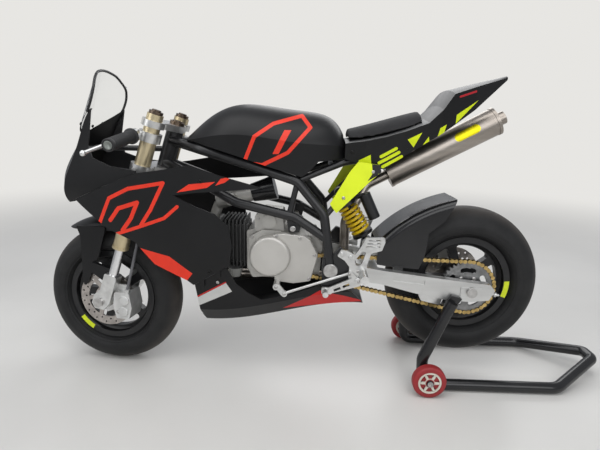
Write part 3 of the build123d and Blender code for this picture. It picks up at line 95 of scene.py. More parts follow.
for name, place, aim, width, depth, power in (
        ("ceiling_lamp", (300, -700, 2600), (500, 0, 300), 3.2, 1.6, 34),
        ("front_lamp", (-1500, -1500, 1700), (300, 0, 400), 1.6, 1.6, 15),
        ("side_lamp", (1500, -2400, 1500), (700, 0, 350), 2.4, 1.4, 22),
        ("back_lamp", (1200, 1900, 1900), (700, 0, 500), 2.4, 1.2, 22)):
    lamp = bpy.data.lights.new(name, "AREA")
    lamp.shape = "RECTANGLE"
    lamp.size = width
    lamp.size_y = depth
    lamp.energy = power
    holder = bpy.data.objects.new(name, lamp)
    holder.location = at(*place)
    holder.rotation_euler = (at(*aim) - at(*place)).to_track_quat("-Z", "Y").to_euler()
    bpy.context.scene.collection.objects.link(holder)


def put(tree, kind, options=None, **sockets):
    """Adds a node, with its options set and its sockets given a value or linked. n0 is its first socket."""
    made = tree.nodes.new(kind if kind.startswith(("Geometry", "Function")) else "ShaderNode" + kind)
    for key, value in (options or {}).items():
        setattr(made, key, value)
    for key, value in sockets.items():
        numbered = key[0] == "n" and key[1:].isdigit()
        place = made.inputs[int(key[1:]) if numbered else key.replace("_", " ")]
        if isinstance(value, bpy.types.NodeSocket):
            tree.links.new(value, place)
        else:
            place.default_value = value
    return made


def reckon(tree, operation, one, two):
    """The result of a sum on two numbers."""
    return put(tree, "Math", {"operation": operation}, n0=one, n1=two).outputs[0]


def reckon_vector(tree, operation, one, two):
    """A node with the result of a sum on two vectors."""
    return put(tree, "VectorMath", {"operation": operation}, n0=one, n1=two)


PALE = (0.80, 0.79, 0.765, 1)
surround = bpy.data.worlds.new("surround")
surround.use_nodes = True
bpy.context.scene.world = surround
tree = surround.node_tree
tree.nodes.clear()
rays = put(tree, "LightPath")
seen = reckon(tree, "MAXIMUM", rays.outputs["Is Camera Ray"], rays.outputs["Is Transmission Ray"])
hall = put(tree, "Background", None, Color=(0.74, 0.76, 0.8, 1), Strength=0.55)
wall = put(tree, "Background", None, Color=PALE, Strength=1.0)
both = put(tree, "MixShader", None, n0=seen, n1=hall.outputs[0], n2=wall.outputs[0])
put(tree, "OutputWorld", None, Surface=both.outputs[0])


def mottle(tree, scale, detail=3.0, stretch=(1, 1, 1)):
    """Soft noise on the piece's own coordinates, between 0 and 1."""
    place = put(tree, "TexCoord")
    turned = put(tree, "Mapping", None, Vector=place.outputs["Object"], Scale=stretch)
    return put(tree, "TexNoise", None, Vector=turned.outputs[0], Scale=scale, Detail=detail).outputs[0]


def surface(name, light, dark, rough, spread=0.06, patch=14.0, grain=900.0, bump=0.12, depth=0.0002,
            stretch=(1, 1, 1), **fixed):
    """A finish with two tones in soft patches, uneven gloss and a fine grain."""
    made = bpy.data.materials.new(name)
    made.use_nodes = True
    tree = made.node_tree
    shader = tree.nodes["Principled BSDF"]
    for key, value in fixed.items():
        shader.inputs[key.replace("_", " ")].default_value = value
    tone = put(tree, "ValToRGB", None, Fac=mottle(tree, patch, 4.0, stretch))
    tone.color_ramp.elements[0].position = 0.35
    tone.color_ramp.elements[0].color = (*dark, 1)
    tone.color_ramp.elements[1].position = 0.65
    tone.color_ramp.elements[1].color = (*light, 1)
    tree.links.new(tone.outputs[0], shader.inputs["Base Color"])
    gloss = put(tree, "MapRange", None, Value=mottle(tree, patch * 3.1, 5.0, stretch), To_Min=rough - spread,
                To_Max=rough + spread)
    tree.links.new(gloss.outputs[0], shader.inputs["Roughness"])
    relief = put(tree, "Bump", None, Strength=bump, Distance=depth, Height=mottle(tree, grain, 2.0, stretch))
    tree.links.new(relief.outputs[0], shader.inputs["Normal"])
    return made


def dress(material, *names):
    """Gives a finish to CAD nodes."""
    for name in names:
        for slot in nodes[name].material_slots:
            slot.material = material


sheet = bpy.data.meshes.new("floor")
sheet.from_pydata([(-9, -7, 0), (9, -7, 0), (9, 11, 0), (-9, 11, 0)], [], [(0, 1, 2, 3)])
floor = bpy.data.objects.new("floor", sheet)
bpy.context.scene.collection.objects.link(floor)
pale_floor = surface("pale_floor", (0.70, 0.69, 0.665), (0.655, 0.645, 0.62), 0.34, spread=0.05, patch=1.6,
                     grain=60.0, bump=0.02, depth=0.001)
tree = pale_floor.node_tree
away = put(tree, "VectorMath", {"operation": "LENGTH"}, n0=put(tree, "TexCoord").outputs["Object"])
fade = put(tree, "MapRange", {"interpolation_type": "SMOOTHSTEP"}, Value=away.outputs["Value"], From_Min=1.5,
           From_Max=4.6)
share = reckon(tree, "MULTIPLY", fade.outputs[0], put(tree, "LightPath").outputs["Is Camera Ray"])
glow = put(tree, "Emission", None, Color=PALE, Strength=1.0)
blend = put(tree, "MixShader", None, n0=share, n1=tree.nodes["Principled BSDF"].outputs[0],
            n2=glow.outputs[0])
tree.links.new(blend.outputs[0], tree.nodes["Material Output"].inputs["Surface"])
sheet.materials.append(pale_floor)

# Tyres: slick race tyres of black rubber, a little browned and dusty where they run. Fine rings are moulded
# into the side walls, and thin ribs stand on them.


def line_gap(tree, place, base, run, held=False):
    """The distance from the line through a point, in metres, or from its stretch alone when held to it."""
    arm = reckon_vector(tree, "SUBTRACT", place, base)
    share = reckon_vector(tree, "DOT_PRODUCT", arm.outputs[0], run / run.length_squared).outputs["Value"]
    if held:
        share = put(tree, "Clamp", None, Value=share).outputs[0]
    foot = put(tree, "VectorMath", {"operation": "SCALE"}, n0=run, Scale=share)
    return reckon_vector(tree, "DISTANCE", arm.outputs[0], foot.outputs[0]).outputs["Value"]


RING_PITCH = 0.0021


def rubber_of(name, hub, turn, tread_from, tread_to):
    """Tyre rubber that grows browner and smoother towards the tread."""
    made = surface(name, (0.016, 0.016, 0.0165), (0.0115, 0.0115, 0.012), 0.6, patch=30.0, grain=1400.0,
                   bump=0.2, depth=0.0003, Specular_IOR_Level=0.32)
    tree = made.node_tree
    shader = tree.nodes["Principled BSDF"]
    radius = line_gap(tree, put(tree, "TexCoord").outputs["Object"], hub, turn)
    run = put(tree, "MapRange", {"interpolation_type": "SMOOTHSTEP"}, Value=radius, From_Min=tread_from,
              From_Max=tread_to)
    dust = reckon(tree, "MULTIPLY", run.outputs[0], mottle(tree, 22.0, 5.0))
    plain = shader.inputs["Base Color"].links[0].from_socket
    worn = put(tree, "MixRGB", None, Fac=dust, Color1=plain, Color2=(0.075, 0.064, 0.056, 1))
    tree.links.new(worn.outputs[0], shader.inputs["Base Color"])
    angle = reckon(tree, "MULTIPLY", radius, math.tau / RING_PITCH)
    waves = put(tree, "Math", {"operation": "SINE"}, n0=angle)
    side = put(tree, "MapRange", None, Value=radius, From_Min=tread_from - 0.004, From_Max=tread_from - 0.012)
    rings = reckon(tree, "MULTIPLY", waves.outputs[0], side.outputs[0])
    grain = shader.inputs["Normal"].links[0].from_socket
    moulded = put(tree, "Bump", None, Strength=0.10, Distance=0.0003, Height=rings, Normal=grain)
    tree.links.new(moulded.outputs[0], shader.inputs["Normal"])
    return made


def frame_of(turn):
    """Two directions square to an axle that isn't upright, the second one upward."""
    flat = turn.cross(Vector((0, 0, 1))).normalized()
    return flat, flat.cross(turn).normalized()


def spoke(turn, angle):
    """The direction square to an axle at an angle from its level direction."""
    flat, high = frame_of(turn)
    return flat * math.cos(angle) + high * math.sin(angle)


def wrap(shape, one, two):
    """Faces between two rings of points, all the way round."""
    for index in range(len(one)):
        after = (index + 1) % len(one)
        shape.faces.new((one[index], one[after], two[after], two[index]))


def mesh_of(name, shape, turn_out=True):
    """The mesh of a shape, with its faces turned outward."""
    if turn_out:
        bmesh.ops.recalc_face_normals(shape, faces=shape.faces)
    mesh = bpy.data.meshes.new(name)
    shape.to_mesh(mesh)
    shape.free()
    return mesh


def smoothed(mesh):
    """The mesh with every face shaded smooth."""
    mesh.polygons.foreach_set("use_smooth", [True] * len(mesh.polygons))
    return mesh


def keep(name, mesh, body, material=None):
    """Makes an object of a mesh in place and lets it ride on its body."""
    made = bpy.data.objects.new(name, mesh)
    bpy.context.scene.collection.objects.link(made)
    if material:
        mesh.materials.clear()
        mesh.materials.append(material)
    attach(made, body)
    return made


def lathe(profile, hub, turn, steps):
    """A closed mesh turned about an axle from points (distance out, place along)."""
    shape = bmesh.new()
    rings = []
    for number in range(steps):
        out = spoke(turn, math.tau * number / steps)
        rings.append([shape.verts.new(hub + out * r + turn * a) for r, a in profile])
    for number in range(steps):
        wrap(shape, rings[number], rings[(number + 1) % steps])
    return smoothed(mesh_of("turned", shape))


WALL_FROM = 0.02


def wall_place(node, hub, turn, radius, side):
    """About how far out along the axle a tyre's side wall lies at a radius.

    It goes by the mesh's points, and gives less where points of the inner and the outer face mix.
    """
    best = 0.0
    rows = []
    for vertex in nodes[node].data.vertices:
        arm = vertex.co - hub
        along = arm.dot(turn)
        if along * side > WALL_FROM:
            rows.append(((arm - turn * along).length, along * side))
    rows.sort()
    for (r_one, a_one), (r_two, a_two) in zip(rows, rows[1:]):
        if r_one <= radius <= r_two and r_two > r_one:
            best = max(best, a_one + (a_two - a_one) * (radius - r_one) / (r_two - r_one))
    return best


# Ribs on a side wall: radius, height and half width
WALL_RIBS = ((0.1475, 0.0012, 0.0022), (0.1535, 0.0006, 0.0012), (0.171, 0.0005, 0.0010))
for node, body, hub, turn, tread, outer in (
        ("front_tyre", "front_wheel", FRONT_HUB, FRONT_TURN, 0.186, 0.2135),
        ("rear_tyre", "rear_wheel", REAR_HUB, REAR_TURN, 0.196, 0.225)):
    rubber = rubber_of(node + "_rubber", hub, turn, tread, outer)
    dress(rubber, node)
    ribs = bmesh.new()
    for side in (-1, 1):
        for radius, tall, wide in WALL_RIBS:
            base = wall_place(node, hub, turn, radius, side)
            foot, top = side * (base - 0.001), side * (base + tall)
            profile = [(radius - wide, foot), (radius - wide * 0.4, top), (radius + wide * 0.4, top),
                       (radius + wide, foot)]
            ribs.from_mesh(lathe(profile, hub, turn, 120))
    keep(node + "_ribs", mesh_of(node + "_ribs", ribs, turn_out=False), body, rubber)

# Rims: cast wheels in satin black paint with five broad spokes, each with a bare valve stem and a plain
# yellow sticker on the flat edge of the rim.
rim_paint = surface("rim_black", (0.012, 0.012, 0.013), (0.008, 0.008, 0.009), 0.36, patch=40.0, grain=500.0,
                    bump=0.08, Specular_IOR_Level=0.45)
dress(rim_paint, "front_rim", "rear_rim")
sticker_yellow = surface("sticker_yellow", (0.72, 0.83, 0.02), (0.66, 0.76, 0.015), 0.42, patch=60.0,
                         bump=0.03)
steel = surface("ground_steel", (0.56, 0.55, 0.54), (0.42, 0.41, 0.40), 0.3, patch=80.0, grain=1500.0,
                bump=0.08, Metallic=1.0)
STICKER_FROM, STICKER_TO, STICKER_THICK = 0.1225, 0.1372, 0.0004
STICKER_SPREAD = 22


def rim_patch(hub, turn, middle, along, steps=14):
    """A thin curved sticker on the flat left edge of a rim, about an angle in degrees."""
    shape = bmesh.new()
    layers = []
    for lift in (0.0, STICKER_THICK):
        layer = []
        for number in range(steps + 1):
            out = spoke(turn, math.radians(middle + STICKER_SPREAD * (number / steps - 0.5)))
            edge = hub - turn * (along + lift)
            layer.append([shape.verts.new(edge + out * r) for r in (STICKER_FROM, STICKER_TO)])
        layers.append(layer)
    for layer in layers:
        for one, two in zip(layer, layer[1:]):
            shape.faces.new((one[0], one[1], two[1], two[0]))
    low, top = layers
    for index in range(steps):
        for edge in (0, 1):
            shape.faces.new((low[index][edge], low[index + 1][edge], top[index + 1][edge], top[index][edge]))
    for index in (0, steps):
        shape.faces.new((low[index][0], low[index][1], top[index][1], top[index][0]))
    return mesh_of("sticker", shape)


for wheel, hub, turn, middle, along in (("front", FRONT_HUB, FRONT_TURN, 228, 0.0331),
                                        ("rear", REAR_HUB, REAR_TURN, 352, 0.0381)):
    keep(wheel + "_rim_sticker", rim_patch(hub, turn, middle, along), wheel + "_wheel", sticker_yellow)
VALVE = [(0.0, 0.0), (0.0042, 0.0), (0.0042, 0.010), (0.0028, 0.012), (0.0028, 0.020), (0.0035, 0.020),
         (0.0035, 0.026), (0.0, 0.026)]
VALVE_R, VALVE_ASIDE = 0.108, 0.004
for wheel, hub, turn in (("front", FRONT_HUB, FRONT_TURN), ("rear", REAR_HUB, REAR_TURN)):
    high = frame_of(turn)[1]
    stem = lathe(VALVE, hub + high * VALVE_R - turn * VALVE_ASIDE, -high, 14)
    keep(wheel + "_valve", stem, wheel + "_wheel", steel)

# Brake discs, sprockets and axles: ground and turned steel, the discs a little browned by heat.
disc_steel = surface("disc_steel", (0.50, 0.46, 0.43), (0.36, 0.33, 0.31), 0.34, patch=60.0, grain=2000.0,
                     bump=0.1, Metallic=1.0)
dress(disc_steel, "front_brake_disc", "rear_brake_disc")
sprocket_steel = surface("sprocket_grey", (0.30, 0.30, 0.30), (0.20, 0.20, 0.20), 0.42, patch=70.0, bump=0.1,
                         Metallic=1.0)
dress(sprocket_steel, "rear_sprocket", "front_sprocket")
dress(steel, "front_axle", "rear_axle", "pivot_bolt")

# Chain: gold plated side plates on steel rollers, one link after the other round both sprockets.
CHAIN_Y = -74.0
FRONT_SPROCKET, FRONT_TEETH = Vector((585.0, 347.0)), 14
REAR_SPROCKET, REAR_TEETH = Vector((1060.0, 291.8)), 38
LINK_PITCH = 12.7
HALF_LINK = LINK_PITCH / 2000
PLATE_R, PLATE_WAIST, PLATE_THICK = 0.0057, 0.0032, 0.0013
ROLLER_R, PIN_R, PIN_PROUD = 0.0038, 0.0019, 0.0006
OUTER_GAP, INNER_GAP = 0.0050, 0.0034
chain_gold = surface("chain_gold", (0.66, 0.48, 0.19), (0.42, 0.29, 0.11), 0.34, patch=90.0, bump=0.15,
                     Metallic=1.0)


def chain_line():
    """The chain's closed line round both sprockets, in metres."""
    r_front, r_rear = (LINK_PITCH / 2 / math.sin(math.pi / teeth) for teeth in (FRONT_TEETH, REAR_TEETH))
    gap = REAR_SPROCKET - FRONT_SPROCKET
    tilt = math.atan2(gap.y, gap.x)
    swing = math.acos((r_front - r_rear) / gap.length)
    points = []
    steps = 24
    for centre, radius, start, end in ((FRONT_SPROCKET, r_front, tilt + swing, tilt + math.tau - swing),
                                       (REAR_SPROCKET, r_rear, tilt - swing, tilt + swing)):
        for number in range(steps + 1):
            angle = start + (end - start) * number / steps
            points.append(centre + radius * Vector((math.cos(angle), math.sin(angle))))
    return [at(p.x, CHAIN_Y, p.y) for p in points]


def prism(shape, low, top):
    """A solid between two like outlines."""
    wrap(shape, low, top)
    shape.faces.new(low)
    shape.faces.new(top)


def link_mesh(name, gap, roller, through=True):
    """One pair of waisted side plates, a gap each side of the middle, with rollers or pins through them.

    Where nothing goes through, an inner pair is plates alone and an outer pair keeps its pins' heads.
    """
    shape = bmesh.new()
    outline = []
    for end in (1, -1):
        for number in range(9):
            angle = math.radians(-120 + 30 * number)
            outline.append((end * (HALF_LINK + PLATE_R * math.cos(angle)), end * PLATE_R * math.sin(angle)))
        outline.append((0.0, end * PLATE_WAIST))
    faces = (gap, gap + PLATE_THICK)
    for side in (-1, 1):
        prism(shape, *([shape.verts.new((side * x, y, z)) for z, y in outline] for x in faces))
    reach = gap if roller else gap + PLATE_THICK + PIN_PROUD
    radius = ROLLER_R if roller else PIN_R
    spans = [(-reach, reach)] if through else [(-reach, -gap), (gap, reach)]
    circle = [(radius * math.sin(t * math.tau / 10), radius * math.cos(t * math.tau / 10)) for t in range(10)]
    for end in (-1, 1):
        for span in spans if through or not roller else []:
            prism(shape, *([shape.verts.new((x, y, end * HALF_LINK + z)) for y, z in circle] for x in span))
    return bpy.data.objects.new(name, mesh_of(name, shape))


def geometry_tree(name, inputs):
    """A modifier tree with a geometry socket and the named inputs."""
    tree = bpy.data.node_groups.new(name, "GeometryNodeTree")
    tree.interface.new_socket("Geometry", in_out="INPUT", socket_type="NodeSocketGeometry")
    keys = {}
    for label, kind, value in inputs:
        socket = tree.interface.new_socket(label, in_out="INPUT", socket_type="NodeSocket" + kind)
        if value is not None:
            socket.default_value = value
        keys[label] = socket.identifier
    tree.interface.new_socket("Geometry", in_out="OUTPUT", socket_type="NodeSocketGeometry")
    return tree, keys, tree.nodes.new("NodeGroupInput"), tree.nodes.new("NodeGroupOutput")


def poly_curve(name, points, cyclic=False):
    """A curve of straight stretches through points."""
    path = bpy.data.curves.new(name, "CURVE")
    path.dimensions = "3D"
    spline = path.splines.new("POLY")
    spline.points.add(len(points) - 1)
    for point, place in zip(spline.points, points):
        point.co = (*place, 1)
    spline.use_cyclic_u = cyclic
    return path


def baked(name, carrier):
    """The plain mesh of an object with its modifiers run."""
    mesh = bpy.data.meshes.new_from_object(carrier.evaluated_get(bpy.context.evaluated_depsgraph_get()))
    mesh.name = name
    return mesh


def grow(name, carrier, tree, keys, values):
    """Runs a tree on an object and returns the plain mesh."""
    bpy.context.scene.collection.objects.link(carrier)
    step = carrier.modifiers.new(name, "NODES")
    step.node_group = tree
    for label, value in values.items():
        step[keys[label]] = value
    mesh = baked(name, carrier)
    carrier.modifiers.clear()
    bpy.data.objects.remove(carrier)
    return mesh


# Even points take an outer link and odd ones an inner link. Where the chain lies between the rear sprocket's
# teeth they take plates alone, so that the wheel turns free of the fixed chain. The columns are the tree's
# socket, the gap, whether the point is even and whether it lies between the teeth.
LINK_KINDS = (("Outer link", OUTER_GAP, True, False), ("Inner link", INNER_GAP, False, False),
              ("Outer plates", OUTER_GAP, True, True), ("Inner plates", INNER_GAP, False, True))
TEETH_FROM = at(970, 0, 0).x
tree, chain_keys, source, result = geometry_tree(
    "chain_links", [(label, "Object", None) for label, gap, even, on_teeth in LINK_KINDS]
    + [("Links", "Int", 100), ("Outer finish", "Material", None), ("Inner finish", "Material", None)])
spread = put(tree, "GeometryNodeCurveToPoints", {"mode": "COUNT"}, n0=source.outputs["Geometry"],
             Count=source.outputs["Links"])
odd = reckon(tree, "MODULO", put(tree, "GeometryNodeInputIndex").outputs[0], 2.0)
parity = put(tree, "FunctionNodeCompare", {"data_type": "INT", "operation": "EQUAL"}, n2=odd, n3=0)
parts = put(tree, "SeparateXYZ", None, n0=put(tree, "GeometryNodeInputPosition").outputs[0])
meshed = put(tree, "FunctionNodeCompare", {"data_type": "FLOAT", "operation": "GREATER_THAN"},
             n0=parts.outputs[0], n1=TEETH_FROM)
coats = []
for label, gap, even, on_teeth in LINK_KINDS:
    tests = [test if held else put(tree, "FunctionNodeBooleanMath", {"operation": "NOT"}, n0=test.outputs[0])
             for test, held in ((parity, even), (meshed, on_teeth))]
    both = put(tree, "FunctionNodeBooleanMath", {"operation": "AND"}, n0=tests[0].outputs[0],
               n1=tests[1].outputs[0])
    info = put(tree, "GeometryNodeObjectInfo", None, n0=source.outputs[label])
    place = put(tree, "GeometryNodeInstanceOnPoints", None, Points=spread.outputs[0],
                Selection=both.outputs[0], Instance=info.outputs["Geometry"],
                Rotation=spread.outputs["Rotation"])
    real = put(tree, "GeometryNodeRealizeInstances", None, n0=place.outputs[0])
    coats.append(put(tree, "GeometryNodeSetMaterial", None, n0=real.outputs[0],
                     Material=source.outputs[label.split()[0] + " finish"]))
together = tree.nodes.new("GeometryNodeJoinGeometry")
for coat in coats:
    tree.links.new(coat.outputs[0], together.inputs[0])
tree.links.new(together.outputs[0], result.inputs[0])
line = chain_line()
length = sum((b - a).length for a, b in zip(line, line[1:] + line[:1]))
values = {label: link_mesh(label, gap, not even, through=not on_teeth)
          for label, gap, even, on_teeth in LINK_KINDS}
shapes = list(values.values())
values["Links"] = 2 * round(length * 1000 / LINK_PITCH / 2)
values["Outer finish"] = chain_gold
values["Inner finish"] = surface("chain_steel", (0.10, 0.085, 0.06), (0.05, 0.042, 0.03), 0.4, Metallic=0.9)
carrier = bpy.data.objects.new("chain_path", poly_curve("chain_path", line, cyclic=True))
chain_mesh = grow("chain_links", carrier, tree, chain_keys, values)
for link in shapes:
    bpy.data.objects.remove(link)
chain = keep("drive_chain", chain_mesh, "root")
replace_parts(chain, "chain")

# Fork: champagne outer tubes, hard chromed inner tubes, machined feet and clamps, dark bronze caps, the
# calipers in bare cast metal, and a thin grey hose.
fork_gold = surface("fork_gold", (0.66, 0.56, 0.36), (0.52, 0.43, 0.27), 0.32, patch=25.0, grain=1800.0,
                    bump=0.06, stretch=(1, 1, 0.2), Metallic=0.85)
dress(fork_gold, "fork_outer_tubes")
chrome = surface("hard_chrome", (0.80, 0.80, 0.81), (0.66, 0.66, 0.67), 0.12, spread=0.03, bump=0.03,
                 Metallic=1.0)
dress(chrome, "fork_inner_tubes")
machined = surface("machined_alloy", (0.74, 0.74, 0.73), (0.60, 0.60, 0.59), 0.30, patch=50.0, grain=700.0,
                   bump=0.1, Metallic=0.9)
dress(machined, "fork_feet", "triple_clamps", "handlebars", "levers", "rearsets", "foot_pegs", "foot_levers",
      "chain_guide")
bronze = surface("cap_bronze", (0.20, 0.15, 0.11), (0.12, 0.09, 0.07), 0.28, bump=0.05, Metallic=0.9)
dress(bronze, "stem_and_fork_caps")
cast = surface("cast_alloy", (0.52, 0.51, 0.48), (0.43, 0.42, 0.395), 0.46, patch=20.0, grain=420.0,
               bump=0.22, depth=0.0004, Metallic=0.55)
dress(cast, "rear_caliper", "crankcase", "carburettor")
caliper_alloy = surface("caliper_alloy", (0.70, 0.70, 0.69), (0.56, 0.56, 0.55), 0.38, patch=40.0, bump=0.15,
                        Metallic=0.7)
dress(caliper_alloy, "front_caliper")
hose_grey = surface("hose_grey", (0.16, 0.16, 0.17), (0.09, 0.09, 0.1), 0.4, grain=1500.0, bump=0.3)
dress(hose_grey, "brake_hose")

# Grips: soft black rubber over the bars, with fine ribs.
grip_rubber = surface("grip_rubber", (0.02, 0.02, 0.021), (0.013, 0.013, 0.014), 0.62, grain=1100.0,
                      bump=0.35, depth=0.0005)
dress(grip_rubber, "stand_pads")
CLAMP_HEIGHT, CLAMP_BACK, BAR_ROOT_Y = 508, 26, 99
BAR_TIP_X, BAR_TIP_Y, BAR_TIP_Z = 150, 252, 674
GRIP_LENGTH, GRIP_PAST_TIP = 116, 2
BORE_R, FLANGE_R, SLEEVE_R, RIB_R = 0.0112, 0.0213, 0.0158, 0.0163
RIBS, RIB_PITCH, FIRST_RIB = 26, 0.0037, 0.0075
BAR_END = [(0.0, -0.0016), (0.0110, -0.0016), (0.0110, -0.0002), (0.0098, 0.0), (0.0080, 0.0),
           (0.0076, -0.0007), (0.0034, -0.0007), (0.0030, -0.0012), (0.0, -0.0012)]
both_grips = bmesh.new()
bar_ends = bmesh.new()
for side in (-1, 1):
    root = LEG_FOOT + LEG_UP * CLAMP_HEIGHT - LEG_BACK * CLAMP_BACK + Vector((0, side * BAR_ROOT_Y, 0))
    tip = Vector((BAR_TIP_X, side * BAR_TIP_Y, BAR_TIP_Z))
    along = (tip - root).normalized()
    start = STEER_TURN @ at(*(tip - along * GRIP_LENGTH))
    stop = STEER_TURN @ at(*(tip + along * GRIP_PAST_TIP))
    way = (stop - start).normalized()
    reach = (stop - start).length
    profile = [(BORE_R, 0.0), (0.0205, 0.0), (FLANGE_R, 0.0010), (FLANGE_R, 0.0036), (0.0205, 0.0048),
               (0.0170, 0.0052)]
    for number in range(RIBS):
        base = FIRST_RIB + number * RIB_PITCH
        profile += [(SLEEVE_R, base), (RIB_R, base + 0.0006), (RIB_R, base + 0.0024),
                    (SLEEVE_R, base + 0.0030)]
    profile += [(0.0160, reach - 0.0090), (0.0165, reach - 0.0080), (0.0165, reach - 0.0012), (0.0157, reach),
                (0.0128, reach), (0.0122, reach - 0.0010), (BORE_R, reach - 0.0012)]
    both_grips.from_mesh(lathe(profile, start, way, 36))
    bar_ends.from_mesh(lathe(BAR_END, stop, way, 28))
mesh = mesh_of("ribbed_grips", both_grips, turn_out=False)
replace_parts(keep("ribbed_grips", mesh, "steering", grip_rubber), "grips")
keep("bar_ends", mesh_of("bar_ends", bar_ends, turn_out=False), "steering",
     surface("end_grey", (0.26, 0.28, 0.26), (0.16, 0.17, 0.16), 0.4, Metallic=0.6))

# Bodywork: thin moulded panels in satin black, with plain red and yellow shapes stuck on.
body_black = surface("body_black", (0.0075, 0.0075, 0.0082), (0.0055, 0.0055, 0.006), 0.40, spread=0.05,
                     patch=9.0, grain=1300.0, bump=0.05, Specular_IOR_Level=0.3)
dress(body_black, "nose_fairing", "front_mudguard")
RED = (0.86, 0.045, 0.02)
YELLOW = (0.76, 0.90, 0.012)


def flat_at(x, z):
    """A point of the side view, in metres."""
    place = at(x, 0, z)
    return Vector((place.x, place.z, 0))


def stroke(tree, place, one, two, half):
    """1 within half a width of the straight line between two points, else 0."""
    start = flat_at(*one)
    gap = line_gap(tree, place, start, flat_at(*two) - start, held=True)
    return reckon(tree, "LESS_THAN", gap, half / 1000)


def patch(tree, place, corners):
    """1 inside a convex outline given anticlockwise, else 0."""
    inside = None
    for one, two in zip(corners, corners[1:] + corners[:1]):
        start = flat_at(*one)
        run = flat_at(*two) - start
        normal = Vector((-run.y, run.x, 0)).normalized()
        depth = reckon_vector(tree, "DOT_PRODUCT", place, normal).outputs["Value"]
        kept = reckon(tree, "GREATER_THAN", depth, normal.dot(start))
        inside = kept if inside is None else reckon(tree, "MINIMUM", inside, kept)
    return inside


def copy_of(material, name):
    """A finish of its own to paint on."""
    made = material.copy()
    made.name = name
    return made


def paint(material, colour, strokes=(), patches=(), flank=0.35, toward=0):
    """Lays strokes and patches of one colour over the outer flanks, or over what looks one way along y."""
    tree = material.node_tree
    shader = tree.nodes["Principled BSDF"]
    coords = put(tree, "TexCoord")
    spot = put(tree, "SeparateXYZ", None, Vector=coords.outputs["Object"])
    place = put(tree, "CombineXYZ", None, X=spot.outputs["X"], Y=spot.outputs["Z"], Z=0.0).outputs[0]
    shapes = [stroke(tree, place, *entry) for entry in strokes]
    shapes += [patch(tree, place, entry) for entry in patches]
    whole = shapes[0]
    for shape in shapes[1:]:
        whole = reckon(tree, "MAXIMUM", whole, shape)
    facing = put(tree, "SeparateXYZ", None, Vector=coords.outputs["Normal"])
    way = toward or put(tree, "Math", {"operation": "SIGN"}, n0=spot.outputs["Y"]).outputs[0]
    outward = reckon(tree, "MULTIPLY", facing.outputs["Y"], way)
    whole = reckon(tree, "MULTIPLY", whole, reckon(tree, "GREATER_THAN", outward, flank))
    below = shader.inputs["Base Color"].links[0].from_socket
    tone = put(tree, "MixRGB", {"blend_type": "MULTIPLY"}, Fac=0.25, Color1=(*colour, 1),
               Color2=put(tree, "ValToRGB", None, Fac=mottle(tree, 30.0)).outputs[0])
    laid = put(tree, "MixRGB", None, Fac=whole, Color1=below, Color2=tone.outputs[0])
    tree.links.new(laid.outputs[0], shader.inputs["Base Color"])
    return material


def line_of(points, half):
    """Strokes of one width along a bent line."""
    return [(one, two, half) for one, two in zip(points, points[1:])]


fairing_paint = paint(
    copy_of(body_black, "fairing_black"), RED,
    line_of([(30, 470), (62, 538), (118, 566), (214, 584)], 5.0)
    + line_of([(214, 584), (178, 512), (150, 470)], 5.0)
    + line_of([(62, 478), (88, 512), (142, 530)], 5.5)
    + line_of([(142, 530), (122, 486), (96, 452)], 5.5)
    + line_of([(60, 434), (150, 466), (214, 490), (250, 522)], 4.5),
    [[(250, 560), (330, 574), (352, 590), (282, 582)], [(352, 580), (376, 588), (400, 606), (366, 598)]])
paint(fairing_paint, RED, (), [[(266, 312), (283, 334), (222, 383), (184, 355)],
                               [(184, 355), (222, 383), (119, 410)]])
dress(fairing_paint, "left_side_fairing", "right_side_fairing")
belly_paint = paint(copy_of(body_black, "belly_black"), (0.66, 0.02, 0.018), (),
                    [[(530, 214), (770, 236), (700, 262), (636, 281)]])
paint(belly_paint, (0.62, 0.62, 0.6), (), [[(293, 230), (388, 276), (372, 303), (284, 252)]])
paint(belly_paint, (0.60, 0.02, 0.02), line_of([(282, 254), (371, 305)], 1.9))
dress(belly_paint, "belly_pan")
tank_paint = paint(
    copy_of(body_black, "tank_black"), RED,
    line_of([(424, 640), (452, 708), (500, 742), (574, 764)], 5.0)
    + line_of([(574, 764), (598, 734), (540, 668), (472, 634), (424, 640)], 5.0), [
        [(500, 664), (516, 664), (548, 726), (530, 726)]])
dress(tank_paint, "tank_cover")
tail_paint = paint(
    copy_of(body_black, "tail_black"), YELLOW,
    line_of([(788, 662), (826, 684)], 4.2) + line_of([(784, 645), (834, 674)], 4.2)
    + line_of([(794, 635), (842, 663)], 4.2),
    [[(854, 708), (872, 688), (891, 727)], [(887, 679), (916, 693), (910, 717)],
     [(939, 739), (934, 716), (951, 726), (956, 749)], [(982, 774), (982, 751), (1044, 814)],
     [(729, 630), (766, 622), (760, 666), (730, 650)]])
paint(tail_paint, (0.5, 0.02, 0.03), line_of([(986, 820), (1032, 835)], 2.6))
dress(tail_paint, "tail_unit")
panel_yellow = surface("panel_yellow", YELLOW, (0.68, 0.80, 0.01), 0.4, patch=12.0, bump=0.04)
paint(panel_yellow, (0.0075, 0.0075, 0.008), (), [[(767, 617), (800, 617), (800, 680), (758, 680)],
                                                  [(754, 597), (785, 615.5), (768, 620)]])
dress(panel_yellow, "strut_panels")
gloss_black = surface("gloss_black", (0.012, 0.012, 0.013), (0.008, 0.008, 0.009), 0.2, spread=0.05,
                      bump=0.03)
dress(gloss_black, "hugger", "air_filter")

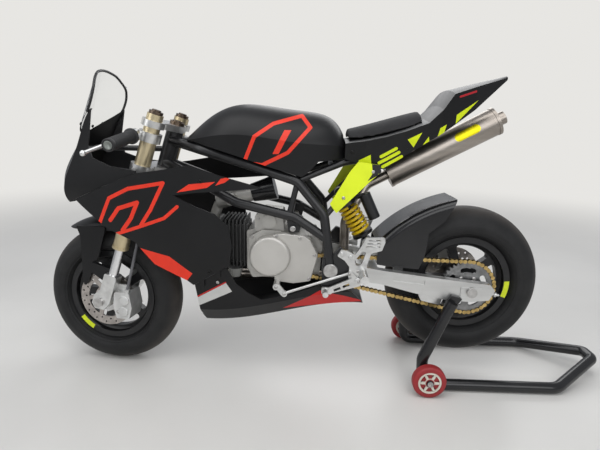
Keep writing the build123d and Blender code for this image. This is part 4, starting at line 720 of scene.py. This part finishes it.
# Windscreen: clear acrylic sheet with a soft black edging strip.
clear = bpy.data.materials.new("clear_acrylic")
clear.use_nodes = True
shader = clear.node_tree.nodes["Principled BSDF"]
shader.inputs["Transmission Weight"].default_value = 1.0
shader.inputs["IOR"].default_value = 1.12
tint = put(clear.node_tree, "ValToRGB", None, Fac=mottle(clear.node_tree, 6.0))
tint.color_ramp.elements[0].color = (0.93, 0.94, 0.94, 1)
tint.color_ramp.elements[1].color = (0.97, 0.975, 0.975, 1)
clear.node_tree.links.new(tint.outputs[0], shader.inputs["Base Color"])
haze = put(clear.node_tree, "MapRange", None, Value=mottle(clear.node_tree, 40.0, 6.0), To_Min=0.0,
           To_Max=0.06)
clear.node_tree.links.new(haze.outputs[0], shader.inputs["Roughness"])
dress(clear, "windscreen")

# Seat pad: one piece of black foam rubber with rounded edges, swelled a little by cloth pressure over its
# glued underside, with a fine open grain.
foam = surface("seat_foam", (0.016, 0.016, 0.017), (0.010, 0.010, 0.011), 0.72, patch=24.0, grain=620.0,
               bump=0.5, depth=0.0006, Specular_IOR_Level=0.35)
# The pad starts a little smaller than its solid, so that it has room to swell.
PAD_SHARE = Vector((0.965, 0.955, 0.90))
SWELL = 0.006
CLOTH_FRAMES = 20
pad_shape = nodes["seat_pad"].data.copy()
low, high = (Vector(edge(vertex.co[axis] for vertex in pad_shape.vertices) for axis in range(3))
             for edge in (min, max))
centre = (low + high) / 2
for vertex in pad_shape.vertices:
    vertex.co = centre + (vertex.co - centre) * PAD_SHARE
foam_pad = bpy.data.objects.new("foam_pad", pad_shape)
bpy.context.scene.collection.objects.link(foam_pad)
even = foam_pad.modifiers.new("even", "REMESH")
even.mode = "VOXEL"
even.voxel_size = 0.005
pad_mesh = baked("foam_pad", foam_pad)
foam_pad.modifiers.clear()
foam_pad.data = pad_mesh
rest = [vertex.co.copy() for vertex in pad_mesh.vertices]
glued = foam_pad.vertex_groups.new(name="glued")
glued.add([vertex.index for vertex in pad_mesh.vertices if vertex.normal.z < -0.6], 1.0, "REPLACE")
cloth = foam_pad.modifiers.new("swell", "CLOTH")
cloth.settings.quality = 6
cloth.settings.use_pressure = True
cloth.settings.uniform_pressure_force = 4.0
cloth.settings.effector_weights.gravity = 0.0
cloth.settings.vertex_group_mass = "glued"
for number in range(1, CLOTH_FRAMES + 1):
    bpy.context.scene.frame_set(number)
swelled = baked("foam_pad", foam_pad)
for place, vertex in zip(rest, swelled.vertices):
    move = vertex.co - place
    if move.length > SWELL:
        vertex.co = place + move * (SWELL / move.length)
foam_pad.modifiers.clear()
foam_pad.data = swelled
bpy.context.scene.frame_set(1)
for vertex in foam_pad.data.vertices:
    vertex.co = Vector(min(max(value, a), b) for value, a, b in zip(vertex.co, low, high))
soften = foam_pad.modifiers.new("soften", "SUBSURF")
soften.levels = 1
soften.render_levels = 1
pad_mesh = baked("foam_pad", foam_pad)
foam_pad.modifiers.clear()
bpy.data.objects.remove(foam_pad)
seat = keep("foam_seat", smoothed(pad_mesh), "root", foam)
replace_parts(seat, "seat_pad")

# Screen edging: a soft black strip pushed over the edge of the screen, up both sides and over the top.
surfaces = {}
RAY_REACH = 0.4


def hit(node, point, way):
    """Where a ray that comes in against a direction first meets a CAD node, and the normal there."""
    if node not in surfaces:
        surfaces[node] = BVHTree.FromPolygons([vertex.co for vertex in nodes[node].data.vertices],
                                              [list(face.vertices) for face in nodes[node].data.polygons])
    return surfaces[node].ray_cast(point + way * RAY_REACH, -way)[:2]


def between(one, two, share):
    """The point at a share of the way from one point to another."""
    return tuple(a + (b - a) * share for a, b in zip(one, two))


edge_rubber = surface("edge_rubber", (0.014, 0.014, 0.015), (0.009, 0.009, 0.010), 0.5, grain=900.0, bump=0.2)
EDGE_R, EDGE_OUT, EDGE_STEPS = 0.0036, 0.0015, 3
outline = [(0, 701), (60, 705), (104, 740), (112, 775), (112, 806), (103, 836), (65, 866), (30, 875)]
outline = outline + [(0, 877)] + [(-y, z) for y, z in outline[::-1]]
# Twice, each corner of the outline is cut off between shares of its two stretches.
for cutting in range(2):
    cut = [outline[0]]
    for one, two in zip(outline, outline[1:]):
        cut += [between(one, two, share) for share in (0.22, 0.78)]
    outline = cut + [outline[-1]]
strip = []
for one, two in zip(outline, outline[1:]):
    for number in range(EDGE_STEPS):
        y, z = between(one, two, number / EDGE_STEPS)
        place, normal = hit("windscreen", at(0, y, z), Vector((-1, 0, 0)))
        if place is not None:
            strip.append(place + Vector((EDGE_OUT, 0, 0)))
path = poly_curve("screen_edging", strip)
path.bevel_depth = EDGE_R
path.bevel_resolution = 2
path.use_fill_caps = True
carrier = bpy.data.objects.new("screen_edging", path)
bpy.context.scene.collection.objects.link(carrier)
mesh = smoothed(baked("screen_edging", carrier))
bpy.data.objects.remove(carrier)
keep("screen_edging", mesh, "root", edge_rubber)

# Fasteners: button heads and flange nuts with a six-sided socket, set by a node tree on points that carry
# their own direction.
bolt_tree, bolt_keys, source, result = geometry_tree("set_bolts", [
    ("Head", "Object", None), ("Size", "Float", 1.0), ("Finish", "Material", None)])
heading = put(bolt_tree, "GeometryNodeInputNamedAttribute", {"data_type": "FLOAT_VECTOR"}, Name="way")
turned = put(bolt_tree, "FunctionNodeAlignRotationToVector", {"axis": "Z"}, Vector=heading.outputs[0])
spots = put(bolt_tree, "GeometryNodeMeshToPoints", None, n0=source.outputs["Geometry"])
head_info = put(bolt_tree, "GeometryNodeObjectInfo", None, n0=source.outputs["Head"])
heads = put(bolt_tree, "GeometryNodeInstanceOnPoints", None, Points=spots.outputs[0],
            Instance=head_info.outputs["Geometry"], Rotation=turned.outputs[0], Scale=source.outputs["Size"])
real = put(bolt_tree, "GeometryNodeRealizeInstances", None, n0=heads.outputs[0])
coat = put(bolt_tree, "GeometryNodeSetMaterial", None, n0=real.outputs[0], Material=source.outputs["Finish"])
bolt_tree.links.new(coat.outputs[0], result.inputs[0])
HEAD_SIDES = 24


def head_shape(name, profile, socket, depth):
    """A head turned about z from points (radius, height), with a six-sided socket sunk into its top."""
    shape = bmesh.new()
    top = profile[-1][1]
    rings = [[] for entry in range(len(profile) + 2)]
    for number in range(HEAD_SIDES):
        angle = math.tau * number / HEAD_SIDES
        reach = socket / math.cos((angle % (math.pi / 3)) - math.pi / 6)
        for ring, (radius, height) in zip(rings, profile + [(reach, top), (reach, top - depth)]):
            ring.append(shape.verts.new((radius * math.cos(angle), radius * math.sin(angle), height)))
    for one, two in zip(rings, rings[1:]):
        wrap(shape, one, two)
    shape.faces.new(rings[-1])
    shape.faces.new(rings[0])
    return bpy.data.objects.new(name, mesh_of(name, shape))


button = head_shape("button_head", [(0.0032, -0.0006), (0.0032, 0.0002), (0.0030, 0.0012), (0.0023, 0.0019),
                                    (0.0019, 0.0020)], 0.0014, 0.0013)
flange_nut = head_shape("flange_nut", [(0.0062, -0.0006), (0.0062, 0.0008), (0.0044, 0.0014),
                                       (0.0040, 0.0042), (0.0036, 0.0046)], 0.0021, 0.0030)


def bolts(name, body, places, head, size, material):
    """Sets heads at places (point, direction)."""
    dots = bpy.data.meshes.new(name)
    dots.from_pydata([tuple(place) for place, way in places], [], [])
    ways = dots.attributes.new("way", "FLOAT_VECTOR", "POINT")
    for entry, (place, way) in zip(ways.data, places):
        entry.vector = way
    mesh = grow(name, bpy.data.objects.new(name, dots), bolt_tree, bolt_keys, {
        "Head": head, "Size": size, "Finish": material})
    return keep(name, mesh, body)


def spots_on(node, points, way):
    """Places and normals on a node's surface as seen from one direction, from points in millimetres."""
    found = []
    for x, y, z in points:
        place, normal = hit(node, at(x, y, z), way)
        if place is not None:
            found.append((place, normal if normal.dot(way) > 0.2 else way))
    return found


LEFT, RIGHT = Vector((0, -1, 0)), Vector((0, 1, 0))
black_steel = surface("black_steel", (0.03, 0.03, 0.03), (0.018, 0.018, 0.018), 0.38, bump=0.1, Metallic=0.8)
panel_bolts = []
bright_bolts = []
for node, way in (("left_side_fairing", LEFT), ("right_side_fairing", RIGHT)):
    panel_bolts += spots_on(node, [(330, 0, 340), (312, 0, 590)], way)
for way in (LEFT, RIGHT):
    bright_bolts += spots_on("belly_pan", [(349, 0, 305), (652, 0, 290)], way)
    panel_bolts += spots_on("tail_unit", [(712, 0, 672)], way)
    bright_bolts += spots_on("strut_panels", [(692, 0, 550), (768, 0, 622)], way)
bolts("panel_bolts", "root", panel_bolts, button, 1.5, black_steel)
bolts("bright_bolts", "root", bright_bolts, button, 1.5, steel)
SCREEN_BOLT_Z, SCREEN_BOLT_RISE = 716, 0.22
screen_places = [(0, y, SCREEN_BOLT_Z + abs(y) * SCREEN_BOLT_RISE) for y in (-92, -66, -30, 30, 66, 92)]
screen_bolts = spots_on("windscreen", screen_places, Vector((-1, 0, 0)))
bolts("screen_bolts", "root", screen_bolts, button, 1.4, black_steel)

DISC_BOLT_R, SPROCKET_NUT_R = 0.033, 0.031
DISC_FACE_FRONT, DISC_FACE_REAR, SPROCKET_FACE = 0.058, 0.070, 0.077
sprocket_nuts = []
rear_disc_bolts = []
front_disc_bolts = []
for number in range(6):
    angle = math.radians(60 * number + 30)
    out = Vector((math.cos(angle), 0, math.sin(angle)))
    rear_disc_bolts.append((REAR_HUB + REAR_TURN * DISC_FACE_REAR + out * DISC_BOLT_R, RIGHT))
    out = spoke(FRONT_TURN, angle)
    front_disc_bolts.append((FRONT_HUB - FRONT_TURN * DISC_FACE_FRONT + out * DISC_BOLT_R, -FRONT_TURN))
for number in range(5):
    angle = math.radians(72 * number + 54)
    out = Vector((math.cos(angle), 0, math.sin(angle)))
    sprocket_nuts.append((REAR_HUB - REAR_TURN * SPROCKET_FACE + out * SPROCKET_NUT_R, LEFT))
bolts("sprocket_nuts", "rear_wheel", sprocket_nuts, flange_nut, 1.0, steel)
bolts("rear_disc_bolts", "rear_wheel", rear_disc_bolts, button, 1.2, steel)
bolts("front_disc_bolts", "front_wheel", front_disc_bolts, button, 1.2, steel)
caliper_bolts = spots_on("front_caliper", [(44, 0, 190), (88, 0, 256), (94, 0, 178), (104, 0, 222)], LEFT)
bolts("caliper_bolts", "steering", caliper_bolts, flange_nut, 0.95, steel)
foot_bolts = []
for way in (LEFT, RIGHT):
    foot_bolts += spots_on("foot_levers", [(740, 0, 326), (714, 0, 346)], way)
    foot_bolts += spots_on("rearsets", [(752, 0, 392), (738, 0, 352)], way)
foot_bolts += spots_on("foot_levers", [(537, 0, 283), (514, 0, 302)], LEFT)
bolts("foot_bolts", "root", foot_bolts, button, 1.5, steel)

# Frame and subframe: steel tubes in satin black powder coat. The shock absorber's body has the same finish.
frame_black = surface("frame_black", (0.0125, 0.0125, 0.0135), (0.009, 0.009, 0.010), 0.34, patch=30.0,
                      grain=700.0, bump=0.12, Specular_IOR_Level=0.5)
dress(frame_black, "frame_left_side", "frame_right_side", "frame_cross_tubes", "head_tube", "subframe",
      "shock_absorber")

# Engine: light warm grey castings with a fine sand skin, and a cylinder and head in heat-proof black.
cover_alloy = surface("cover_alloy", (0.56, 0.545, 0.515), (0.50, 0.485, 0.455), 0.42, patch=10.0,
                      grain=600.0, bump=0.12, Metallic=0.5)
dress(cover_alloy, "engine_covers")
CLUTCH_X, CLUTCH_Z, CLUTCH_BOLT_R = 500, 370, 62
left_places = [(576, 0, 431), (618, 0, 384), (603, 0, 314), (520, 0, 305), (512, 0, 437)]
right_places = [(CLUTCH_X + CLUTCH_BOLT_R * math.cos(t), 0, CLUTCH_Z + CLUTCH_BOLT_R * math.sin(t))
                for t in (0.4, 1.45, 2.5, 3.54, 4.59, 5.64)]
cover_bolts = spots_on("engine_covers", left_places, LEFT) + spots_on("engine_covers", right_places, RIGHT)
cover_bolts += spots_on("crankcase", [(456, 0, 478), (515, 0, 486), (440, 0, 426)], LEFT)
bolts("cover_bolts", "root", cover_bolts, button, 1.35, steel)
case_nuts = spots_on("frame_left_side", [(556, 0, 459)], LEFT)
case_nuts += spots_on("frame_right_side", [(556, 0, 459)], RIGHT)
bolts("case_nuts", "root", case_nuts, flange_nut, 1.25, steel)
barrel_black = surface("barrel_black", (0.05, 0.05, 0.05), (0.03, 0.03, 0.03), 0.55, grain=500.0, bump=0.3)
dress(barrel_black, "cylinder_head")
# The cap at the cylinder's lower corner is bare metal on every side, so its flank limit lies below -1.
barrel_paint = paint(copy_of(barrel_black, "barrel_and_cap"), (0.40, 0.40, 0.38), (),
                     [[(350, 270), (412, 270), (412, 321), (350, 321)]], flank=-1.1)
dress(barrel_paint, "cylinder")

# Exhaust: header and silencer in brushed titanium, with a bare yellow badge.
titanium = surface("brushed_titanium", (0.43, 0.39, 0.35), (0.33, 0.295, 0.26), 0.34, patch=10.0, grain=300.0,
                   bump=0.12, stretch=(0.15, 1, 4), Metallic=1.0)
dress(titanium, "exhaust_header")
can = paint(copy_of(titanium, "silencer_titanium"), (0.80, 0.70, 0.02),
            line_of([(1042, 712), (1090, 738)], 13.0), toward=-1, flank=0.2)
dress(can, "silencer")

# Shock absorber: a yellow spring on a black body.
spring_yellow = surface("spring_yellow", (0.86, 0.60, 0.012), (0.72, 0.48, 0.01), 0.3, bump=0.05)
dress(spring_yellow, "shock_spring")

# Swingarm: bare aluminium, brushed along its length.
arm_alloy = surface("arm_alloy", (0.66, 0.66, 0.65), (0.52, 0.52, 0.51), 0.36, patch=16.0, grain=500.0,
                    bump=0.15, stretch=(0.12, 1, 1.5), Metallic=0.9)
dress(arm_alloy, "swingarm")

# Stand: glossy black tube on two small wheels with red tyres.
dress(gloss_black, "stand_tube")
stand_red = surface("stand_red", (0.34, 0.022, 0.026), (0.26, 0.016, 0.019), 0.55, bump=0.15)
dress(stand_red, "left_stand_wheel", "right_stand_wheel")
cream = surface("hub_cream", (0.72, 0.69, 0.60), (0.60, 0.57, 0.49), 0.45, patch=60.0, bump=0.1)
RIM_OUT, RIM_IN, STAR_IN = 0.0322, 0.0268, 0.0095
STAR_VALLEY, ARM_LENGTH, ARMS = 0.0134, 0.0145, 6
STAR_FLOOR, STAR_TOP, STAR_STEPS = 0.0100, 0.0128, 72


def star_hub(name, body, middle, side):
    """A cream wheel centre with a rim, six arms and a hub, lying in the wheel's recess."""
    shape = bmesh.new()
    rim, star = [], []
    for number in range(STAR_STEPS):
        out = spoke(REAR_TURN, math.tau * number / STAR_STEPS)
        share = abs((ARMS * number / STAR_STEPS) % 1 - 0.5) * 2
        reach = STAR_VALLEY + ARM_LENGTH * min(1.0, max(0.0, share - 0.50) / 0.34)
        rim.append((out * RIM_OUT, out * RIM_IN))
        star.append((out * reach, out * STAR_IN))
    for ring in (rim, star):
        rows = []
        for edge, height in ((0, STAR_FLOOR), (0, STAR_TOP), (1, STAR_TOP), (1, STAR_FLOOR)):
            base = middle + REAR_TURN * side * height
            rows.append([shape.verts.new(base + pair[edge]) for pair in ring])
        for one, two in zip(rows, rows[1:] + rows[:1]):
            wrap(shape, one, two)
    return keep(name, mesh_of(name, shape), body, cream)


for side, name in ((-1, "left"), (1, "right")):
    for face in (-1, 1):
        label = name + "_hub_" + ("outer" if face == side else "inner")
        star_hub(label, "stand_wheel_" + name, at(948, side * 176, 47), face)

axle_bolts = spots_on("stand_tube", [(948, 0, 47)], LEFT) + spots_on("stand_tube", [(948, 0, 47)], RIGHT)
bolts("stand_axle_bolts", "root", axle_bolts, flange_nut, 1.25, steel)
